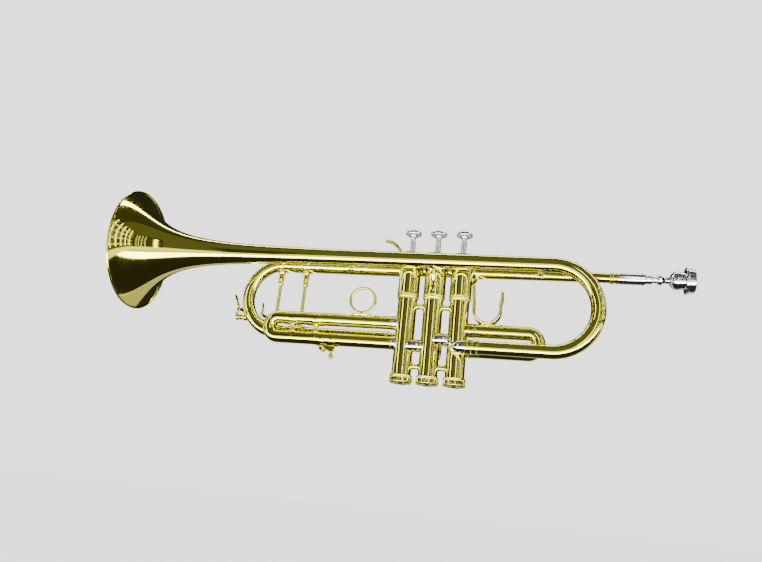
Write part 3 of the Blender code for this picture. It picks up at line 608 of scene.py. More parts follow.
def make_mouthpiece():
    low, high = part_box("mouthpiece")
    length = high.x - low.x
    rim = metres([(0.0, 9.6), (0.15, 10.2), (0.7, 11.1), (2.0, 11.5), (6.4, 11.5), (6.7, 11.3),
                  (6.9, 12.5), (7.4, 12.75), (8.5, 12.75), (8.9, 12.5), (9.2, 9.2)])
    bowl = smooth(metres([(9.7, 8.3), (10.6, 8.0), (12.5, 8.3), (15.0, 8.8), (17.5, 8.7), (19.6, 7.9),
                          (21.2, 6.4), (22.2, 5.0), (23.1, 3.7), (24.6, 3.1)]), 5)
    shank = metres([(29.0, 3.1), (29.6, 4.3), (30.4, 4.8), (32.8, 4.8), (33.6, 4.3), (34.2, 3.1),
                    (38.4, 3.1), (38.8, 4.1), (39.6, 4.3), (43.4, 4.3), (44.0, 4.6), (END, 4.2),
                    (END, 3.4)], length)
    bore = smooth(metres([(26.2, 1.9), (21.5, 2.1), (18.0, 3.8), (14.0, 5.8), (9.0, 7.4), (4.0, 8.1),
                          (1.5, 8.6), (0.3, 9.3)]), 5)
    outline = rounded(rim) + bowl + rounded(shank, 0.0004) + bore
    route = Route((low.x, LEAD.y, LEAD.z), X_AXIS).line(length)
    turned("mouthpiece_turned", route, outline, SILVER, "mouthpiece_body", ["mouthpiece"], 72)


def make_tuning_knuckle():
    high = high_of("tuning_knuckle")
    bend = 0.008
    route = Route((high.x + OVERLAP, LEAD.y, TUNING_LOW_Z), -X_AXIS)
    route.line(high.x + OVERLAP - centre_of("valve_casing_3").x - bend).turn(bend, 90, -Z_AXIS)
    length = route.line(0.0025).length
    outline = [(0, 0.0062), (0.0120, 0.0062), (length * 0.75, 0.0064), (length, 0.0060),
               (length, 0.0054), (0, 0.0054)]
    turned("tuning_knuckle_elbow", route, rounded(outline, 0.0002), BRASS, BODY, ["tuning_knuckle"])


def make_u_tube(name, start, direction, bend, run, leg, crook, bore, body, node, segments=48):
    """Along the upper leg, round the crook and back. Leg, crook and bore are in millimetres.

    leg is the outside of one leg, from its open end.
    """
    route = Route(start, direction).line(run).turn(bend, 180, -direction.cross(Z_AXIS)).line(run)
    full = 2 * run + math.pi * bend
    near = metres(leg, run) + [(run + 0.0003, crook / 1000)]
    far = [(full - along, radius) for along, radius in reversed(near)]
    outline = rounded(near + far + [(full, bore / 1000), (0, bore / 1000)])
    turned(name, route, outline, BRASS, body, [node], segments)


def make_tuning_slide():
    low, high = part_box("tuning_slide")
    bend = (LEAD.z - TUNING_LOW_Z) / 2
    run = high.x - TUNING_BOW_RADIUS - bend - low.x
    ferrule = 1000 * (high_of("tuning_sleeve_upper").x - low.x) + 0.3
    leg = [(0, 6.1), (ferrule, 6.1), (ferrule, 7.0), (ferrule + 1.2, 7.0), (ferrule + 1.6, 6.7),
           (-2.2, 6.7), (-1.8, 7.0), (-0.6, 7.0), (-0.2, 6.2)]
    make_u_tube("tuning_slide_bow", (low.x, LEAD.y, LEAD.z), X_AXIS, bend, run, leg, 6.2, 5.5,
                "main_tuning_slide", "tuning_slide", 40)


def make_upright_brace(node, body):
    """Thin rod with a thick barrel below its upper foot, and a diamond flange on each tube."""
    x = centre_of(node).x
    lathe(f"{node}_rod", (x, LEAD.y, TUNING_LOW_Z + SLEEVE_RADIUS), Z_AXIS,
          LEAD.z - TUNING_LOW_Z - 2 * SLEEVE_RADIUS,
          [(0, 0), (0, 3.4), (0.6, 3.4), (1.2, 2.6), (2.4, 1.8), (-15.2, 1.8), (-14.8, 2.8),
           (-14.0, 3.1), (-12.8, 2.8), (-12.4, 2.6), (-3.0, 2.9), (-2.4, 3.3), (-1.4, 3.6),
           (-0.4, 4.4), (END, 4.4), (END, 0)], BRASS, body, [node], 28, 0.2)
    for label, height, out in (("top", LEAD.z, -Z_AXIS), ("foot", TUNING_LOW_Z, Z_AXIS)):
        diamond(f"{node}_{label}_flange", body, (x, LEAD.y, height), X_AXIS, out, SLEEVE_RADIUS,
                0.0095, 0.0080)


# Valves

def lathe_up(name, node, outline, material, body, segments=48, edge=0.3, extra=0.0, **more):
    """Turn an outline about the upright axis of the node that it replaces, from its lowest point."""
    low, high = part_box(node)
    middle = centre_of(node)
    lathe(name, (middle.x, middle.y, low.z), Z_AXIS, high.z - low.z + extra, outline, material, body,
          [node], segments, edge, **more)


def knurl(count, depth, low, high):
    """Ripple for turned(): straight teeth with pointed crests between two lengths."""
    def sink(length, turn):
        if not low <= length <= high:
            return 0.0
        return depth * (0.5 - 0.5 * math.cos(count * turn))
    return sink


def make_casing(valve):
    lathe_up(f"casing_{valve}_tube", f"valve_casing_{valve}",
             [(0, 9.3), (80.6, 9.3), (80.9, 10.4), (81.9, 10.8), (82.9, 10.4), (83.2, 10.1),
              (83.6, 10.1), (84.0, 10.8), (85.4, 10.9), (85.8, 10.5), (-4.0, 10.5), (-3.6, 10.8),
              (END, 10.8), (END, 9.6), (86.3, 9.6), (86.3, 8.5), (0, 8.5)], BRASS, BODY, 64)


def make_bottom_cap(valve):
    """Knurled cap with a rounded edge, a dished face and the vent's ring at its middle."""
    edge = 10.8
    teeth = 58
    outline = [(0.6, 0), (0.6, 1.4), (0.1, 1.8), (0.1, 2.4), (0.6, 2.8), (0.6, 7.4), (0, 8.2),
               (0, 9.6), (0.4, 10.4), (1.0, edge), (1.3, edge)]
    outline += [(1.6 + 0.8 * step, edge) for step in range(6)]
    outline += [(6.0, edge), (6.5, 10.4), (6.9, 10.6), (7.7, 10.6), (8.0, 10.3), (8.0, 9.6),
                (2.0, 9.6), (2.0, 0)]
    lathe_up(f"bottom_cap_{valve}_knurled", f"bottom_cap_{valve}", outline, BRASS, BODY, teeth * 4, 0,
             ripple=knurl(teeth, 0.0004, 0.0014, 0.0059), sharp=60)


def make_top_cap(valve):
    node = f"top_cap_{valve}"
    edge = 10.7
    teeth = 60
    outline = [(0, 10.3), (0.3, 10.6), (1.0, edge)]
    outline += [(1.4 + 0.7 * step, edge) for step in range(6)]
    outline += [(5.2, edge), (5.6, 10.4), (6.4, 10.4), (7.0, 10.1), (7.6, 8.0), (7.9, 6.0),
                (8.0, 4.4), (8.0, 3.1), (6.3, 3.0), (6.3, 9.8), (0, 9.8)]
    lathe_up(f"{node}_knurled", node, outline, SILVER, BODY, teeth * 4, 0,
             ripple=knurl(teeth, 0.00035, 0.0012, 0.0050), sharp=60)
    axis = centre_of(node)
    lathe(f"top_felt_{valve}", (axis.x, axis.y, high_of(node).z + 0.0001), Z_AXIS, 0.0008,
          [(0, 3.3), (0, 5.2), (0.8, 5.2), (0.8, 3.3)], FELT, BODY, edge=0.2)


def make_stem_and_button(valve):
    """Plated stem and a mushroom button: hollow underneath, with a pearl set in its top."""
    body = f"valve_{valve}"
    node = f"finger_button_{valve}"
    lathe_up(f"stem_{valve}_rod", f"valve_stem_{valve}",
             [(0, 0), (0, 2.7), (-3.5, 2.7), (-3.2, 2.2), (-2.2, 2.2), (-1.9, 2.7), (END, 2.7),
              (END, 0)], SILVER, body, 32, 0.2, OVERLAP)
    lathe_up(f"button_{valve}_cap", node,
             [(0, 0), (0, 3.0), (1.0, 3.2), (2.0, 4.0), (2.6, 5.4), (1.8, 6.9), (1.7, 7.4), (2.2, 7.8),
              (3.1, 8.0), (4.2, 7.9), (4.9, 7.5), (5.1, 7.0), (4.9, 6.5), (4.4, 6.4), (4.4, 0)],
             SILVER, body, 56, 0.4)
    axis = centre_of(f"valve_stem_{valve}")
    lathe(f"button_{valve}_pearl", (axis.x, axis.y, low_of(node).z + 0.0042), Z_AXIS, 0.001,
          [(0, 0), (0, 6.3), (0.4, 6.3), (0.7, 5.3), (0.75, 2.7), (0.7, 0)], PEARL, body, edge=0.2)


def make_crossover(front, rear):
    """Plated arch between two casings, with a solder ring where it meets each."""
    node = f"crossover_{rear}_{front}"
    front_x = centre_of(f"valve_casing_{front}").x
    chord = front_x - centre_of(f"valve_casing_{rear}").x - 0.005
    rise = 0.005
    radius = (chord ** 2 / 4 + rise ** 2) / (2 * rise)
    half = math.asin(chord / 2 / radius)
    away = (-math.cos(half), math.sin(half), 0)
    route = Route((front_x + 0.0003, -0.0005, centre_of(node).z), away)
    length = route.turn(radius, 2 * math.degrees(half), Z_AXIS, 24).length
    outline = [(0, 0.0056), (length * 0.25, 0.0059), (length * 0.5, 0.0060), (length * 0.75, 0.0059),
               (length, 0.0056), (length, 0.0050), (0, 0.0050)]
    turned(f"{node}_arch", route, outline, SILVER, BODY, [node], 56)
    inset = 0.0078
    for label, place, way in (("front", inset, -1), ("rear", length - inset, 1)):
        point, along, _ = route.at(place)
        lathe(f"{node}_{label}_solder_ring", point, way * along, 0.001,
              [(0, 5.6), (0, 6.1), (0.8, 6.2), (1.0, 5.6)], BRASS, BODY, (), 56, 0.2)


def waisted(flare, waist, length):
    """A bar's outside in metres: the same flare, given in millimetres, at both ends of a waist."""
    near = metres(flare)
    return near + [(length / 2, waist / 1000)] + [(length - along, out) for along, out in near[::-1]]


def make_casing_bridge(front, rear, label, height):
    """Short waisted bar that ties two casings together."""
    wall = 0.0088
    start = centre_of(f"valve_casing_{rear}").x + wall
    length = centre_of(f"valve_casing_{front}").x - wall - start
    outside = smooth(waisted([(0, 4.4), (0.6, 3.6), (1.6, 2.8)], 2.3, length), 3)
    turned(f"casing_bridge_{label}_{rear}_{front}", Route((start, 0, height), X_AXIS).line(length),
           [(0, 0)] + outside + [(length, 0)], BRASS, BODY, (), 32)


# Valve slides

VALVE_SLIDE_RADIUS = 0.0065


def make_inner_tube(prefix, label, direction):
    """Tube on a casing, plated on the third slide and brass on the first, with the beaded collar its
    slide stops against.
    """
    node = f"{prefix}_inner_tube_{label}"
    low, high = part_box(node)
    middle = centre_of(node)
    start = low.x if direction.x > 0 else high.x
    collar, material = (6.0, SILVER) if prefix == "third" else (9.4, BRASS)
    outline = [(0, 6.6), (collar - 5.6, 6.6), (collar - 5.4, 6.3), (collar - 5.0, 6.3),
               (collar - 4.7, 6.9), (collar - 1.8, 6.9), (collar - 1.5, 6.5), (collar - 0.9, 6.5),
               (collar - 0.7, 6.9), (collar, 6.9), (collar, 5.8), (END, 5.8), (END, 5.3), (0, 5.3)]
    lathe(f"{prefix}_inner_{label}_tube", (start, middle.y, middle.z), direction, high.x - low.x,
          outline, material, BODY, [node])


def make_valve_slide(prefix, direction):
    """The moving U of the first or the third slide."""
    node = f"{prefix}_slide_tube"
    low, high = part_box(node)
    radius = VALVE_SLIDE_RADIUS
    bend = (high.z - low.z) / 2 - radius
    run = high.x - low.x - radius - bend
    start = (low.x if direction.x > 0 else high.x, 0, high.z - radius)
    leg = [(0, 6.3), (0.2, 6.7), (1.2, 6.7), (1.5, 6.5), (END, 6.5)]
    make_u_tube(f"{prefix}_slide_u", start, direction, bend, run, leg, 6.5, 6.1, f"{prefix}_slide",
                node, 44)


def make_slide_posts():
    """Two posts between the third slide's tubes, each on diamond flanges."""
    upper = centre_of("third_inner_tube_upper").z
    lower = centre_of("third_inner_tube_lower").z
    radius = VALVE_SLIDE_RADIUS
    length = upper - lower - 2 * radius
    outline = [(0, 0)] + waisted([(0, 3.4), (0.8, 3.0), (1.8, 1.9)], 1.6, length) + [(length, 0)]
    for label in ("front", "rear"):
        node = f"third_slide_post_{label}"
        x = centre_of(node).x
        turned(f"slide_post_{label}_bar", Route((x, 0, lower + radius), Z_AXIS).line(length),
               rounded(outline, 0.0002), BRASS, "third_slide", [node], 24)
        for side, height, out in (("upper", upper, -Z_AXIS), ("lower", lower, Z_AXIS)):
            diamond(f"slide_post_{label}_{side}_flange", "third_slide", (x, 0, height), X_AXIS, out,
                    radius, 0.0085, 0.0115)


def make_finger_ring():
    """Wire ring on a small saddle plate that is soldered to the upper tube."""
    low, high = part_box("finger_ring")
    x = (low.x + high.x) / 2
    wire = 0.0014
    bend = (high.x - low.x) / 2 - wire
    route = Route((x, 0, high.z - wire - 2 * bend), X_AXIS).turn(bend, 359.9, -Y_AXIS, 72)
    outline = [(0, 0), (0, wire), (route.length, wire), (route.length, 0)]
    turned("finger_ring_wire", route, outline, BRASS, "third_slide", ["finger_ring"], 18)
    height = centre_of("third_inner_tube_upper").z
    diamond("finger_ring_saddle", "third_slide", (x, 0, height), X_AXIS, Z_AXIS, VALVE_SLIDE_RADIUS,
            0.0140, 0.0036, 0.0016)
    lathe("finger_ring_fillet", (x, 0, height + 0.0072), Z_AXIS, 0.0018,
          [(0, 0), (0, 4.0), (0.7, 3.2), (1.6, 1.6), (1.8, 0)], BRASS, "third_slide", (), 28, 0.2)


def make_thumb_saddle():
    """U-shaped thumb strip on a saddle plate on the first slide's upper tube."""
    low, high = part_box("thumb_saddle")
    thick = 0.0026
    bend = 0.0140 - thick / 2
    x = low.x + 0.0149
    centre = Vector((x, 0, low.z + 0.0008 + bend))
    tip, shoulder = Vector((x + 0.0139, 0, high.z)), Vector((x + 0.0136, 0, high.z - 0.0060))
    path = [tip, tip.lerp(shoulder, 0.5), shoulder, centre + Vector((bend, 0, 0.0060))]
    for step in range(25):
        turn = math.pi * step / 24
        path.append(centre + bend * Vector((math.cos(turn), 0, -math.sin(turn))))
    path += [centre + Vector(place)
             for place in ((-bend, 0, 0.0060), (-0.0138, 0, 0.0120), (-0.0140, 0, 0.0180))]
    strip("thumb_strip", path, 0.0120, thick, Y_AXIS, BRASS, "first_slide", ["thumb_saddle"])
    height = centre_of("first_inner_tube_upper").z
    diamond("thumb_strip_flange", "first_slide", (x - 0.004, 0, height), X_AXIS, Z_AXIS,
            VALVE_SLIDE_RADIUS, 0.0120, 0.0060, 0.0010)


def make_second_slide():
    """Short slide on the far side, with its sleeves and a turned pull knob."""
    for label in ("upper", "lower"):
        node = f"second_sleeve_{label}"
        low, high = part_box(node)
        middle = centre_of(node)
        lathe(f"{node}_tube", (middle.x, high.y, middle.z), -Y_AXIS, high.y - low.y,
              [(0, 6.5), (-3.0, 6.5), (-2.7, 7.0), (-0.2, 7.0), (END, 6.7), (END, 6.1), (0, 6.1)],
              BRASS, BODY, [node])
    low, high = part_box("second_slide_tube")
    bend = (high.z - low.z) / 2 - VALVE_SLIDE_RADIUS
    crook = -0.0330
    run = high.y - crook
    ferrule = 1000 * (high.y - low_of("second_sleeve_upper").y) + 0.3
    leg = [(0, 5.8), (ferrule, 5.8), (ferrule, 6.6), (ferrule + 1.4, 6.6), (ferrule + 1.8, 6.2),
           (-1.0, 6.2), (-0.4, 6.0)]
    make_u_tube("second_slide_u", (0, high.y, high.z - VALVE_SLIDE_RADIUS), -Y_AXIS, bend, run, leg,
                5.9, 5.3, "second_slide", "second_slide_tube", 44)
    start = crook - bend - 0.0054
    lathe("second_slide_knob", (0, start, (low.z + high.z) / 2), -Y_AXIS, start - low.y,
          [(0, 0), (0, 2.6), (0.8, 2.0), (1.6, 1.6), (-4.5, 1.6), (-3.8, 2.8), (-2.4, 3.3),
           (-1.0, 3.1), (-0.1, 2.2), (END, 0)], BRASS, "second_slide", (), 36)


# Water keys

class KeyPlace:
    """A water key's own frame in millimetres: x away from the bow, z up the lever's arm."""

    def __init__(self, seat, lean, size):
        self.seat = seat
        self.turn = Matrix.Rotation(-math.radians(lean), 3, "Y")
        self.scale = size / 1000

    def point(self, place):
        return self.seat + self.scale * (self.turn @ Vector(place))

    def way(self, direction):
        return self.turn @ Vector(direction)


def make_water_key(prefix, bow_centre, reach, degrees, lean, size, slide_body, key_body):
    """Nipple and ears on the slide, and the lever, cup and pad that turn between the ears."""
    turn = math.radians(degrees)
    seat = bow_centre + reach * Vector((math.cos(turn), 0, math.sin(turn)))
    place = KeyPlace(seat, lean, size)

    def spin(name, start, way, outline, material, body, replaced=(), segments=24):
        length = max(along for along, _ in outline) * place.scale
        scaled = [(size * along, size * radius) for along, radius in outline]
        lathe(f"{prefix}_{name}", place.point(start), place.way(way), length, scaled, material, body,
              replaced, segments, 0.25 * size)

    def bend(name, curve, width, thickness, material):
        strip(f"{prefix}_{name}", [place.point(spot) for spot in curve], width * place.scale,
              thickness * place.scale, Y_AXIS, material, key_body)

    outwards = (1, 0, 0)
    spin("nipple", (-1.0, 0, 0), outwards,
         [(0, 0), (0, 3.6), (2.6, 3.4), (3.4, 2.6), (6.0, 2.4), (6.6, 3.0), (7.0, 3.0), (7.0, 0)],
         BRASS, slide_body, [f"{prefix}_seat"], 32)
    ear = [(-3.0, 4.6), (2.0, 4.4), (5.6, 5.2), (9.0, 5.8), (10.2, 7.5), (9.0, 9.2), (7.0, 9.4),
           (3.0, 8.8), (-1.6, 9.8)]
    for side, shift in (("left", 2.5), ("right", -2.5)):
        plate(f"{prefix}_ear_{side}", slide_body, [(place.scale * u, place.scale * v) for u, v in ear],
              0.9 * place.scale, place.point((0, shift, 0)), place.way((1, 0, 0)),
              place.way((0, 0, 1)), 0.4 * place.scale)
    spin("pad", (6.3, 0, 0), outwards, [(0, 0), (0, 2.6), (1.9, 2.6), (1.9, 0)], CORK, key_body,
         [f"{prefix}_cork"])
    spin("cup", (7.8, 0, 0), outwards,
         [(0, 0), (0, 3.0), (1.8, 3.3), (3.0, 2.8), (3.8, 1.2), (3.9, 0)], BRASS, key_body,
         [f"{prefix}_lever"], 32)
    bend("arm", smooth([(10.8, 0, 1.0), (11.2, 0, 4.0), (9.8, 0, 7.5), (10.2, 0, 11.0),
                        (11.6, 0, 15.0), (13.6, 0, 19.5), (15.0, 0, 22.9)]), 3.6, 2.0, BRASS)
    bend("tab", [(12.2, 0, 16.5), (13.6, 0, 19.5), (14.6, 0, 21.8), (15.2, 0, 23.1)], 6.2, 1.8,
         BRASS)
    spin("barrel", (8.5, -2.0, 7.5), (0, 1, 0), [(0, 0), (0, 1.6), (4.0, 1.6), (4.0, 0)], BRASS,
         key_body)
    spin("hinge_screw", (8.5, 4.0, 7.5), (0, -1, 0),
         [(0, 0), (0, 1.4), (0.4, 1.6), (0.8, 1.6), (1.0, 0.8), (7.0, 0.8), (7.0, 0)],
         SILVER, slide_body, (), 20)
    bend("spring", smooth([(4.0, 0, 10.0), (6.6, 0, 10.2), (8.2, 0, 12.2), (10.0, 0, 14.6)]), 1.6,
         0.4, STEEL)


def make_water_keys():
    bend = (LEAD.z - TUNING_LOW_Z) / 2
    reach = bend + TUNING_BOW_RADIUS
    bow = Vector((high_of("tuning_slide").x - reach, LEAD.y, (LEAD.z + TUNING_LOW_Z) / 2))
    make_water_key("tuning_key", bow, reach, -31.5, 0, 1.0, "main_tuning_slide", "main_water_key")
    low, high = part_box("third_slide_tube")
    crook = (high.z - low.z) / 2
    centre = Vector((high.x - crook, 0.0, (low.z + high.z) / 2))
    make_water_key("third_key", centre, crook, 14, 22, 0.72, "third_slide", "third_water_key")


# Braces, hook and music holder

def make_cross_brace(node, pipe_radius, half_length, half_width, shift):
    """Waisted brace between the bell stem and the leadpipe, on a diamond flange at each end.

    half_length, half_width and shift place the leadpipe's flange.
    """
    x = centre_of(node).x
    stem = bell_radius(BELL_RIM_X - x)
    start = LEAD.y + pipe_radius
    length = BELL.y - stem - start
    outside = smooth(waisted([(0, 4.4), (0.8, 3.4), (2.2, 2.1)], 1.7, length), 4)
    turned(f"{node}_bar", Route((x, start, BELL.z), Y_AXIS).line(length),
           [(0, 0)] + outside + [(length, 0)], BRASS, BODY, [node], 32)
    diamond(f"{node}_bell_flange", BODY, (x, BELL.y, BELL.z), X_AXIS, -Y_AXIS, stem, 0.0110, 0.0075)
    diamond(f"{node}_pipe_flange", BODY, (x + shift, LEAD.y, LEAD.z), X_AXIS, Y_AXIS, pipe_radius,
            half_length, half_width)


def make_casing_brace():
    """Diamond foot on the middle casing, and its post up to the bell stem."""
    casing = centre_of("valve_casing_2")
    diamond("casing_brace_flange", BODY, (casing.x, casing.y, 0.0958), Z_AXIS, Y_AXIS, 0.0105,
            0.0065, 0.0052, 0.0007)
    path = smooth(vectors((0, 10.5, 96.3), (0, 13.4, 99.5), (0, 15.8, 104.3), (0, 17.4, 109.9)), 8)
    strip("casing_brace_post", path, 0.0038, 0.0032, X_AXIS, BRASS, BODY, ["casing_to_bell_brace"])
    diamond("casing_brace_bell_flange", BODY, (0, BELL.y, BELL.z), X_AXIS, (0, -0.18, -0.98),
            bell_radius(BELL_RIM_X), 0.0080, 0.0060)


def make_leadpipe_brace():
    """Small strut from the first casing to the leadpipe."""
    casing = Vector((centre_of("valve_casing_1").x, 0, 0))
    x = casing.x - 0.0135
    rising = vectors((-7.0, -7.0, 101.3), (-10.8, -9.0, 104.3), (-12.5, -13.0, 108.8))
    path = smooth([casing + place for place in rising] + [(x, LEAD.y + 0.0012, LEAD.z - 0.0050)], 8)
    strip("leadpipe_brace_strut", path, 0.0042, 0.0018, X_AXIS, BRASS, BODY)
    diamond("leadpipe_brace_flange", BODY, (x, LEAD.y, LEAD.z), X_AXIS, -Z_AXIS, 0.0056, 0.0085,
            0.0060)


def make_finger_hook():
    """Tapered hook for the little finger, on a diamond plate."""
    x = low_of("finger_hook").x + 0.0065
    diamond("finger_hook_plate", BODY, (x, LEAD.y, LEAD.z), X_AXIS, Z_AXIS, SLEEVE_RADIUS, 0.0095,
            0.0058, 0.0010)
    foot = Vector((x, LEAD.y, LEAD.z + SLEEVE_RADIUS))
    curve = vectors((0, 0, 0), (0.4, 0, 7.0), (2.6, 0, 14.0), (8.0, 0, 20.0), (13.5, 0, 22.8),
                    (18.2, 0, 23.8))
    path = smooth([foot + place for place in curve], 7)
    strip("finger_hook_bar", path, 0.0055, 0.0030, Y_AXIS, BRASS, BODY, ["finger_hook"])
    lathe("finger_hook_tip", path[-1] - 0.0002 * X_AXIS, X_AXIS, 0.0008,
          [(0, 0), (0, 1.4), (0.5, 1.2), (0.8, 0)], BRASS, BODY, (), 16, 0)


def make_lyre_holder():
    """Socket for a music holder under the third slide, and the thumb screw that clamps it."""
    low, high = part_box("lyre_socket")
    body = "third_slide"
    middle = (low.z + high.z) / 2
    lathe("lyre_socket_tube", (0.1060, -0.0040, middle), Y_AXIS, 0.0080,
          [(0, 1.8), (0, 2.9), (END, 2.9), (END, 1.8)], BRASS, body, ["lyre_socket"], 32)
    web = [(0.0940, high.z - 0.0002), (0.0940, high.z - 0.0022), (0.0952, middle - 0.0029),
           (0.0984, middle - 0.0029), (0.1034, middle - 0.0012), (0.1034, middle + 0.0014),
           (0.1050, middle + 0.0026), (0.1110, high.z - 0.0012), (0.1120, high.z - 0.0002)]
    plate("lyre_socket_web", body, web, 0.0030, (0, 0, 0), X_AXIS, Z_AXIS)
    height = centre_of("third_inner_tube_lower").z
    for label, x in (("front", 0.1075), ("rear", 0.0970)):
        diamond(f"lyre_socket_flange_{label}", body, (x, 0, height), X_AXIS, -Z_AXIS,
                VALVE_SLIDE_RADIUS, 0.0065, 0.0115)
    lathe_up("lyre_screw_knurled", "lyre_screw",
             [(0, 0), (0, 1.2), (0.4, 1.9), (1.0, 2.2), (4.6, 2.2), (5.0, 1.8), (5.3, 1.3),
              (END, 1.3), (END, 0)], BRASS, body, 96, 0, 0.0012,
             ripple=knurl(24, 0.0003, 0.0008, 0.0047), sharp=60)
    screw = (centre_of("lyre_screw").x - 0.0018, 0, low_of("lyre_screw").z + 0.0028)
    lathe("lyre_screw_nub", screw, -X_AXIS, 0.0024,
          [(0, 0), (0, 0.48), (0.2, 0.736), (0.48, 0.8), (-0.48, 0.8), (-0.2, 0.736), (END, 0.48),
           (END, 0)], BRASS, body, (), 20, 0)


# Inner parts


def make_spring(valve):
    """Coil spring round the piston's barrel."""
    node = f"valve_spring_{valve}"
    low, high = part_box(node)
    axis = centre_of(node)
    height = high.z - low.z
    wire = 0.00045
    mean_radius = (high.x - low.x) / 2 - wire
    turns = 7
    per_turn = 32
    last = turns * per_turn
    mesh_data = bmesh.new()
    rings = []
    for step in range(last + 1):
        turn = 2 * math.pi * step / per_turn
        out = Vector((math.cos(turn), math.sin(turn), 0))
        place = Vector((axis.x, axis.y, low.z + wire + (height - 2 * wire) * step / last))
        rings.append(ring(mesh_data, place + mean_radius * out, out, Z_AXIS, [wire] * 10))
    for one, other in zip(rings, rings[1:]):
        bridge(mesh_data, one, other)
    mesh_data.faces.new(rings[0])
    mesh_data.faces.new(rings[-1])
    made = piece(f"spring_{valve}_coil", mesh_data, STEEL, BODY, [node], 60)
    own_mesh(made)


def finish_inner_parts():
    for valve in VALVES:
        make_spring(valve)
        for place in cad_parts[f"piston_{valve}"].material_slots:
            place.material = STEEL


# Stage: floor, backdrop and studio light

FLOOR_Z = -0.3477


def emitting_card(name, corners, strength):
    """A flat card that lights the trumpet and shows only in its reflections."""
    material = bpy.data.materials.new(name)
    material.use_nodes = True
    nodes = material.node_tree.nodes
    nodes.clear()
    light = nodes.new("ShaderNodeEmission")
    light.inputs["Color"].default_value = (1, 1, 1, 1)
    light.inputs["Strength"].default_value = strength
    output = nodes.new("ShaderNodeOutputMaterial")
    material.node_tree.links.new(light.outputs["Emission"], output.inputs["Surface"])
    card = staged(name, corners, material)
    card.visible_camera = False
    card.visible_shadow = False
    card.visible_diffuse = False


def staged(name, corners, material):
    """A flat four-sided piece of the stage."""
    mesh = bpy.data.meshes.new(name)
    mesh.from_pydata(corners, [], [(0, 1, 2, 3)])
    mesh.materials.append(material)
    made = bpy.data.objects.new(name, mesh)
    bpy.context.scene.collection.objects.link(made)
    return made


def upright(x0, x1, y0, y1, z0, z1):
    """Corners of a card that stands between two points of the plan."""
    return [(x0, y0, z0), (x1, y1, z0), (x1, y1, z1), (x0, y0, z1)]


def level(x0, x1, y0, y1, z):
    return [(x0, y0, z), (x1, y0, z), (x1, y1, z), (x0, y1, z)]


def make_floor():
    half = 12.0
    made = Finish("pale_floor")
    grain = made.noise(3.0, 2.0)
    made.feed(made.blend(grain, (0.915, 0.915, 0.905), (0.935, 0.935, 0.925)), "Base Color")
    made.value("Roughness", 0.9)
    made.value("Specular IOR Level", 0.0)
    staged("floor", level(-half, half, -half, half, FLOOR_Z), made.material)


def make_world():
    """Pale all round, but dim for reflections, so that the cards shape the metal."""
    world = bpy.data.worlds.new("studio")
    world.use_nodes = True
    bpy.context.scene.world = world
    nodes = world.node_tree.nodes
    links = world.node_tree.links
    nodes.clear()
    mix = nodes.new("ShaderNodeMixShader")
    links.new(nodes.new("ShaderNodeLightPath").outputs["Is Glossy Ray"], mix.inputs["Fac"])
    for socket, colour, strength in ((1, (0.90, 0.90, 0.89, 1.0), 2.5),
                                     (2, (0.15, 0.15, 0.145, 1.0), 1.0)):
        seen = nodes.new("ShaderNodeBackground")
        seen.inputs["Color"].default_value = colour
        seen.inputs["Strength"].default_value = strength
        links.new(seen.outputs["Background"], mix.inputs[socket])
    links.new(mix.outputs["Shader"], nodes.new("ShaderNodeOutputWorld").inputs["Surface"])


def make_key_light():
    light = bpy.data.lights.new("key_light", "AREA")
    light.shape = "RECTANGLE"
    light.size = light.size_y = 1.2
    light.energy = 4
    holder = bpy.data.objects.new("key_light", light)
    holder.location = (0.4, 0.9, 1.5)
    aim = Vector((0, 0, 0.08))
    holder.rotation_euler = (aim - holder.location).to_track_quat("-Z", "Y").to_euler()
    holder.visible_glossy = False
    holder.visible_camera = False
    bpy.context.scene.collection.objects.link(holder)


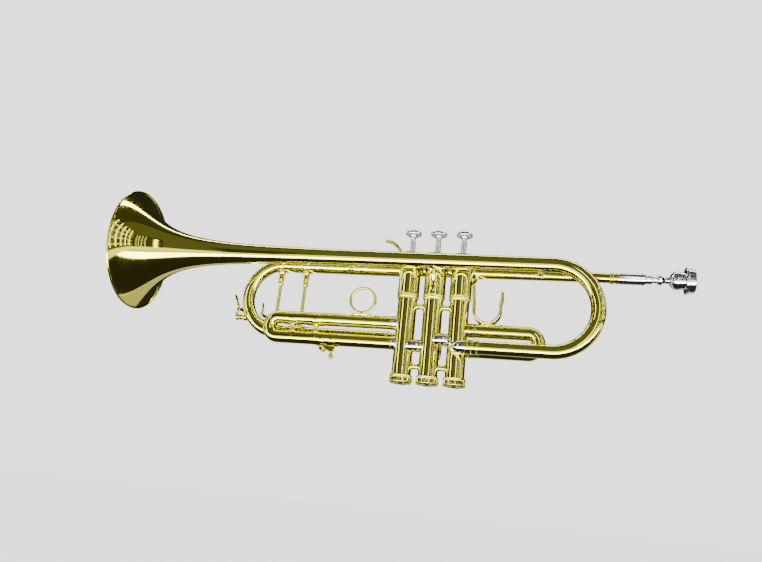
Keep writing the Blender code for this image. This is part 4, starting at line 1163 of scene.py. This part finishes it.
def make_studio():
    """Softboxes overhead and at the sides, white in front below, and dark flags between them."""
    make_world()
    make_floor()
    low = FLOOR_Z + 0.002
    cards = [
        ("overhead_strip", level(-1.6, 1.8, -0.37, -0.25, 1.25), 15.0),
        ("overhead_flag", level(-1.6, 1.8, -0.22, 0.34, 1.26), 0.06),
        ("overhead_back_flag", level(-2.5, 2.5, -1.6, -0.40, 1.26), 0.03),
        ("front_floor_white", level(-2.5, 2.5, 0.42, 1.00, low), 15.0),
        ("front_floor_far", level(-2.5, 2.5, 1.00, 1.50, low), 1.2),
        ("under_flag", level(-2.5, 2.5, -0.50, 0.40, low), 0.03),
        ("back_floor", level(-2.5, 2.5, -2.5, -0.52, low), 0.8),
        ("back_flag", upright(-2.5, 2.5, -1.6, -1.6, -0.33, 1.6), 0.03),
        ("front_left_softbox", upright(1.02, 1.13, 1.08, 0.97, 0.0, 0.85), 9.0),
        ("front_left_flag", upright(0.56, 0.98, 1.38, 1.12, -0.1, 0.85), 0.05),
        ("left_softbox", upright(1.50, 1.46, -0.12, -0.36, 0.0, 0.85), 5.0),
        ("window_dark", upright(-1.62, -1.50, -0.5, 1.15, 0.10, 1.30), 0.06),
        ("window_dark_front", upright(-1.50, -0.20, 1.16, 1.52, 0.02, 1.10), 0.06)]
    for index in range(8):
        y = -0.40 + 0.19 * index
        bar = upright(-1.46, -1.45, y, y + 0.014, 0.12, 1.20)
        cards.append((f"window_bar_{index}", bar, 11.0))
    for index in range(4):
        x = -1.28 + 0.16 * index
        y = 1.18 + 0.03 * index
        post = upright(x, x + 0.011, y, y + 0.002, 0.05, 1.0)
        cards.append((f"window_post_{index}", post, 7.0))
    cards += [
        ("front_right_strip", upright(-0.46, -0.34, 1.36, 1.40, 0.0, 0.9), 6.0),
        ("left_flag", upright(1.22, 1.50, 0.86, 0.10, -0.1, 1.0), 0.06),
        ("left_back_flag", upright(1.44, 1.10, -0.42, -1.50, -0.1, 1.2), 0.06)]
    for index in range(4):
        z = 0.20 + 0.24 * index
        rail = upright(-1.44, -1.43, -0.45, 1.05, z, z + 0.009)
        cards.append((f"window_rail_{index}", rail, 8.0))
    for card in cards:
        emitting_card(*card)
    make_key_light()


def make_trumpet():
    make_bell()
    make_bell_bow()
    make_tail_knuckle()
    make_leadpipe()
    make_mouthpiece()
    make_tuning_sleeves()
    make_tuning_knuckle()
    make_tuning_slide()
    make_upright_brace("tuning_sleeve_brace", BODY)
    make_upright_brace("tuning_slide_brace", "main_tuning_slide")
    for valve in VALVES:
        make_casing(valve)
        make_bottom_cap(valve)
        make_top_cap(valve)
        make_stem_and_button(valve)
    make_crossover(3, 2)
    make_crossover(2, 1)
    for front, rear in ((3, 2), (2, 1)):
        make_casing_bridge(front, rear, "upper", 0.0757)
        make_casing_bridge(front, rear, "lower", 0.0169)
    for label in ("upper", "lower"):
        make_inner_tube("third", label, X_AXIS)
        make_inner_tube("first", label, -X_AXIS)
    make_valve_slide("third", X_AXIS)
    make_valve_slide("first", -X_AXIS)
    make_slide_posts()
    make_finger_ring()
    make_thumb_saddle()
    make_second_slide()
    make_water_keys()
    make_cross_brace("bell_brace_front", 0.0070, 0.0140, 0.0085, -0.004)
    make_cross_brace("bell_brace_rear", 0.0052, 0.0056, 0.0046, 0.0)
    make_casing_brace()
    make_leadpipe_brace()
    make_finger_hook()
    make_lyre_holder()
    finish_inner_parts()


make_camera()
make_trumpet()
make_studio()
